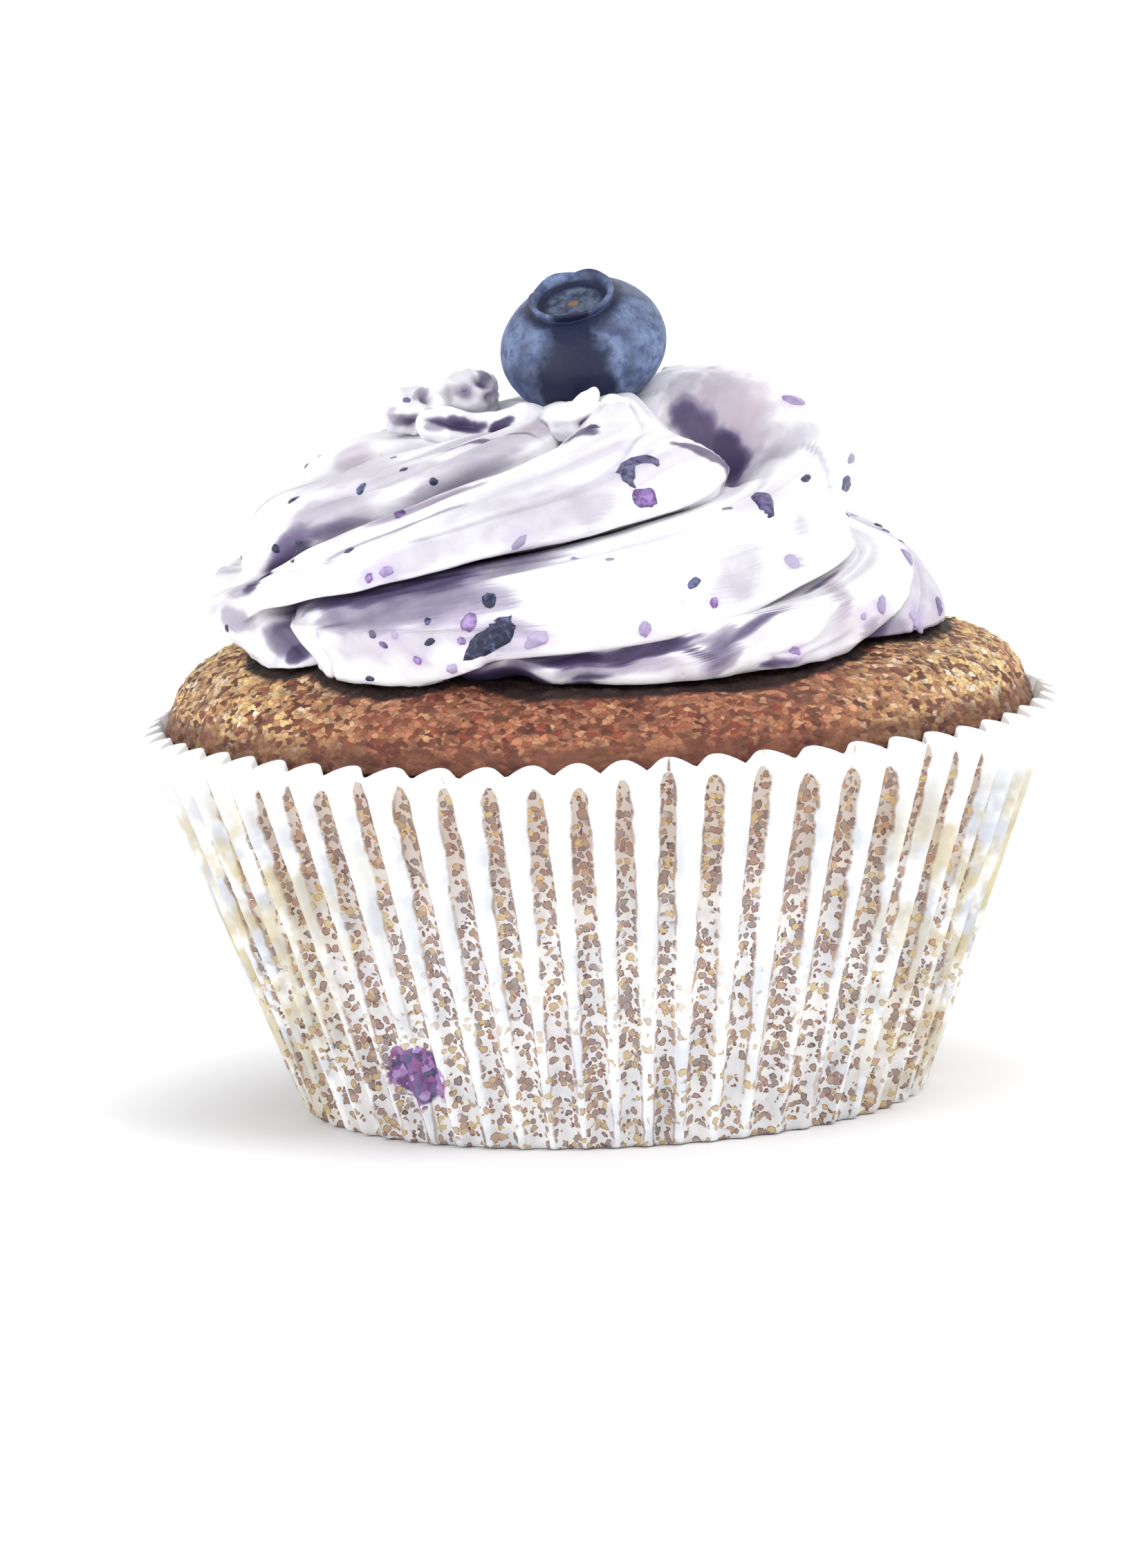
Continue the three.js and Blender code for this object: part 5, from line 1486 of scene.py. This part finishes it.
def berry_material():
    """Blueberry skin: blue-black under a waxy bloom that is rubbed off in patches; painted shade leaves the
    bloom off down one front band and round the foot of the crown, and darkens the crown's inner wall; a small
    brown scar in the disc."""
    material, nodes, shader = new_material("Blueberry skin")
    disc, ring, front, up, reach = nodes.values("disc", "ring", "front", "up", "reach")
    skin = colours().skin
    broad = nodes.noise(210.0)
    fine = nodes.noise(1100.0, 4.0, 0.65)
    # painted shade: a dark band down the front, where the bloom is left off
    front_shade = nodes.smooth(front + 0.35 * (nodes.noise(420.0, 2.0) - 0.5), 0.86, 0.99)
    bloom = (nodes.smooth(0.85 * broad + 0.25 * fine, 0.32, 0.68) - front_shade).clamped()
    # painted shade round the foot of the crown, where the bloom is left off
    bloom_outside_shade = (bloom * (1.0 - ring)).clamped()
    blue = nodes.mix(nodes.smooth(fine, 0.38, 0.66), colours().bloom, BLOOM_THIN)
    body = nodes.mix(0.92 * bloom_outside_shade, skin, blue)
    royal = nodes.smooth(up, 0.1, -0.5) * nodes.smooth(nodes.noise(300.0, 2.0), 0.45, 0.6)
    under = nodes.mix(0.5 * royal, body, BERRY_ROYAL)
    plate = nodes.mix(nodes.smooth(fine, 0.35, 0.7), DISC_DARK, DISC_GREY)
    # painted shade: the crown's inner wall is as dark as the bare skin
    walled = nodes.mix(nodes.smooth(reach, 0.27, 0.38), plate, skin)
    topped = nodes.mix(disc, under, walled)
    scar = disc * nodes.smooth(reach + 0.12 * (fine - 0.5), 0.07, 0.035)
    nodes.feed(shader, {
        "Base Color": nodes.mix(scar, topped, SCAR_BROWN),
        "Roughness": 0.42 + 0.28 * bloom_outside_shade,
        "Normal": nodes.bump(fine + 0.4 * broad, 0.3, 0.00022),
        "Specular IOR Level": 0.3,
    })
    return material


BLACK = (0.0, 0.0, 0.0)
WHITE = (1.0, 1.0, 1.0)


def studio_material():
    """Plain pale floor that glows a little away from its middle, so that it stays as bright there."""
    material, nodes, shader = new_material("Studio floor")
    glow = nodes.smooth(nodes.vector("LENGTH", nodes.place(), output="Value"), 0.026, 0.06)
    nodes.feed(shader, {
        "Base Color": opaque((0.83, 0.83, 0.84)),
        "Roughness": 0.75,
        "Specular IOR Level": 0.2,
        "Emission Color": nodes.mix(glow, BLACK, WHITE),
        "Emission Strength": 0.5,
    })
    return material


# ---- stage ----

FLOOR_FLAT = 1.3               # the floor is flat out to this radius, then sweeps up into a wall
FLOOR_WALL = 1.9
WALL_HEIGHT = 1.5


def studio_mesh():
    """Dish that is flat in the middle and sweeps up all round on a quarter ellipse."""
    azimuth = np.arange(96) * FULL_TURN / 96
    sweep = np.linspace(0, 1, 24)[1:] * math.pi / 2
    radius = np.concatenate([[0.2, 0.7, FLOOR_FLAT], FLOOR_FLAT + (FLOOR_WALL - FLOOR_FLAT) * np.sin(sweep)])
    height = np.concatenate([[0, 0, 0], WALL_HEIGHT * (1 - np.cos(sweep))])
    grid = polar(radius[:, None] / MM, azimuth[None, :], height[:, None] / MM)
    rings, columns = grid.shape[:2]
    quads, triangles = skin_faces(rings, columns)
    points = np.concatenate([grid.reshape(-1, 3), [(0, 0, 0)]])
    # only the first pole closes the dish, and its faces look up
    return make_mesh("studio_floor", points, quads[:, ::-1], triangles[:columns, ::-1], {})


def camera_axes():
    """Right, up and back of the camera, turned about its line of sight by its roll."""
    back = Vector((0, -math.cos(CAMERA_ELEVATION), math.sin(CAMERA_ELEVATION)))
    level_up = back.cross(Vector((1, 0, 0)))
    c, s = math.cos(CAMERA_ROLL), math.sin(CAMERA_ROLL)
    return Vector((1, 0, 0)) * c - level_up * s, level_up * c + Vector((1, 0, 0)) * s, back


def add_camera():
    """Camera at the picture's angle, distance, tilt and scale."""
    back = camera_axes()[2]
    data = bpy.data.cameras.new("camera")
    camera = bpy.data.objects.new("camera", data)
    bpy.context.scene.collection.objects.link(camera)
    camera.location = LOOK_AT + back * CAMERA_DISTANCE
    camera.rotation_mode = "QUATERNION"
    camera.rotation_quaternion = (-back).to_track_quat("-Z", "Y") @ Quaternion((0, 0, 1), -CAMERA_ROLL)
    data.sensor_width = SENSOR
    data.sensor_fit = "VERTICAL"
    data.sensor_height = SENSOR
    data.lens = SENSOR * CAMERA_DISTANCE * PICTURE_PIXELS_PER_METRE / PICTURE_HEIGHT
    data.clip_start = 0.01
    bpy.context.scene.camera = camera


def add_light(name, at, target, size, power, tint):
    """Square soft light that faces a point."""
    data = bpy.data.lights.new(name, "AREA")
    data.size = size
    data.energy = power
    data.color = tint
    light = bpy.data.objects.new(name, data)
    bpy.context.scene.collection.objects.link(light)
    light.location = at
    light.rotation_euler = (Vector(target) - Vector(at)).to_track_quat("-Z", "Y").to_euler()


def add_lights():
    """Pale surroundings, a key from the upper right front, a broad fill from the left and a light
    from behind on the right."""
    world = bpy.data.worlds.new("studio")
    bpy.context.scene.world = world
    world.use_nodes = True
    background = world.node_tree.nodes["Background"]
    background.inputs["Color"].default_value = (0.95, 0.97, 1.0, 1)
    background.inputs["Strength"].default_value = 0.43
    middle = (0, 0, 0.04)
    add_light("key", (0.34, -0.38, 0.62), middle, 0.34, 2.7, (1.0, 0.985, 0.96))
    add_light("fill", (-0.6, -0.45, 0.35), middle, 0.6, 2.2, (0.97, 0.98, 1.0))
    add_light("rim", (0.35, 0.5, 0.5), middle, 0.4, 1.0, (1.0, 1.0, 1.0))
    bpy.context.scene.view_settings.view_transform = "Standard"


# ---- operators ----

class MUFFIN_OT_paper_case(bpy.types.Operator):
    """Add the fluted paper case"""
    bl_idname = "muffin.paper_case"
    bl_label = "Paper case"

    def execute(self, context):
        place("paper_case_sheet", [case_patch()], paper_material(), "paper_case", "case_paper")
        return {"FINISHED"}


class MUFFIN_OT_crust(bpy.types.Operator):
    """Add the cake with its crust"""
    bl_idname = "muffin.crust"
    bl_label = "Cake"

    def execute(self, context):
        place("cake_crust", [crust_patch()], crust_material(), "muffin", "cake_crust")
        return {"FINISHED"}


class MUFFIN_OT_cream(bpy.types.Operator):
    """Add the swirl of cream and the thin curls round the berry"""
    bl_idname = "muffin.cream"
    bl_label = "Cream"

    def execute(self, context):
        patches = cream_patches()
        tree = cream_tree(patches)
        add_shades_and_tints(patches, tree)
        add_halos(patches, tree)
        material = cream_material()
        place("cream_swirl", patches[:1], material, "frosting", "berry_cream")
        place("cream_curls", patches[1:], material, "frosting", "berry_cream")
        return {"FINISHED"}


class MUFFIN_OT_skin_bits(bpy.types.Operator):
    """Add the bits of berry skin in the cream"""
    bl_idname = "muffin.skin_bits"
    bl_label = "Bits of skin"

    def execute(self, context):
        tree = cream_tree(cream_patches())
        patches = [bit_patch(tree, seed, *bit) for seed, bit in enumerate(all_bits(tree))]
        place("skin_bits", patches, bit_material(), "frosting", "berry_cream")
        return {"FINISHED"}


class MUFFIN_OT_blueberry(bpy.types.Operator):
    """Add the blueberry"""
    bl_idname = "muffin.blueberry"
    bl_label = "Blueberry"

    def execute(self, context):
        place("blueberry_fruit", [berry_patch()], berry_material(), "blueberry", "berry_skin")
        return {"FINISHED"}


class MUFFIN_OT_stage(bpy.types.Operator):
    """Add the pale floor, the lights and the camera"""
    bl_idname = "muffin.stage"
    bl_label = "Stage"

    def execute(self, context):
        floor = bpy.data.objects.new("studio_floor", studio_mesh())
        floor.data.materials.append(studio_material())
        bpy.context.scene.collection.objects.link(floor)
        add_lights()
        add_camera()
        return {"FINISHED"}


class MUFFIN_PT_panel(bpy.types.Panel):
    """Lists the muffin's settings and pieces"""
    bl_idname = "MUFFIN_PT_panel"
    bl_label = "Muffin"
    bl_space_type = "VIEW_3D"
    bl_region_type = "UI"
    bl_category = "Muffin"

    def draw(self, context):
        for settings in (context.scene.muffin_sizes, context.scene.muffin_colours):
            column = self.layout.column()
            for key in settings.bl_rna.properties.keys():
                if key not in ("rna_type", "name"):
                    column.prop(settings, key)
        for piece in PIECES:
            self.layout.operator(piece.bl_idname)


PIECES = (MUFFIN_OT_paper_case, MUFFIN_OT_crust, MUFFIN_OT_cream, MUFFIN_OT_skin_bits,
          MUFFIN_OT_blueberry, MUFFIN_OT_stage)
CLASSES = (MuffinSizes, MuffinColours, *PIECES, MUFFIN_PT_panel)


def register():
    """Add the classes and the settings to Blender."""
    for item in CLASSES:
        bpy.utils.register_class(item)
    bpy.types.Scene.muffin_sizes = PointerProperty(type=MuffinSizes)
    bpy.types.Scene.muffin_colours = PointerProperty(type=MuffinColours)


def unregister():
    """Take them out again."""
    del bpy.types.Scene.muffin_colours
    del bpy.types.Scene.muffin_sizes
    for item in reversed(CLASSES):
        bpy.utils.unregister_class(item)


def main():
    """Builds every piece and the stage."""
    register()
    bpy.ops.muffin.paper_case()
    bpy.ops.muffin.crust()
    bpy.ops.muffin.cream()
    bpy.ops.muffin.skin_bits()
    bpy.ops.muffin.blueberry()
    bpy.ops.muffin.stage()


if __name__ == "__main__":
    main()
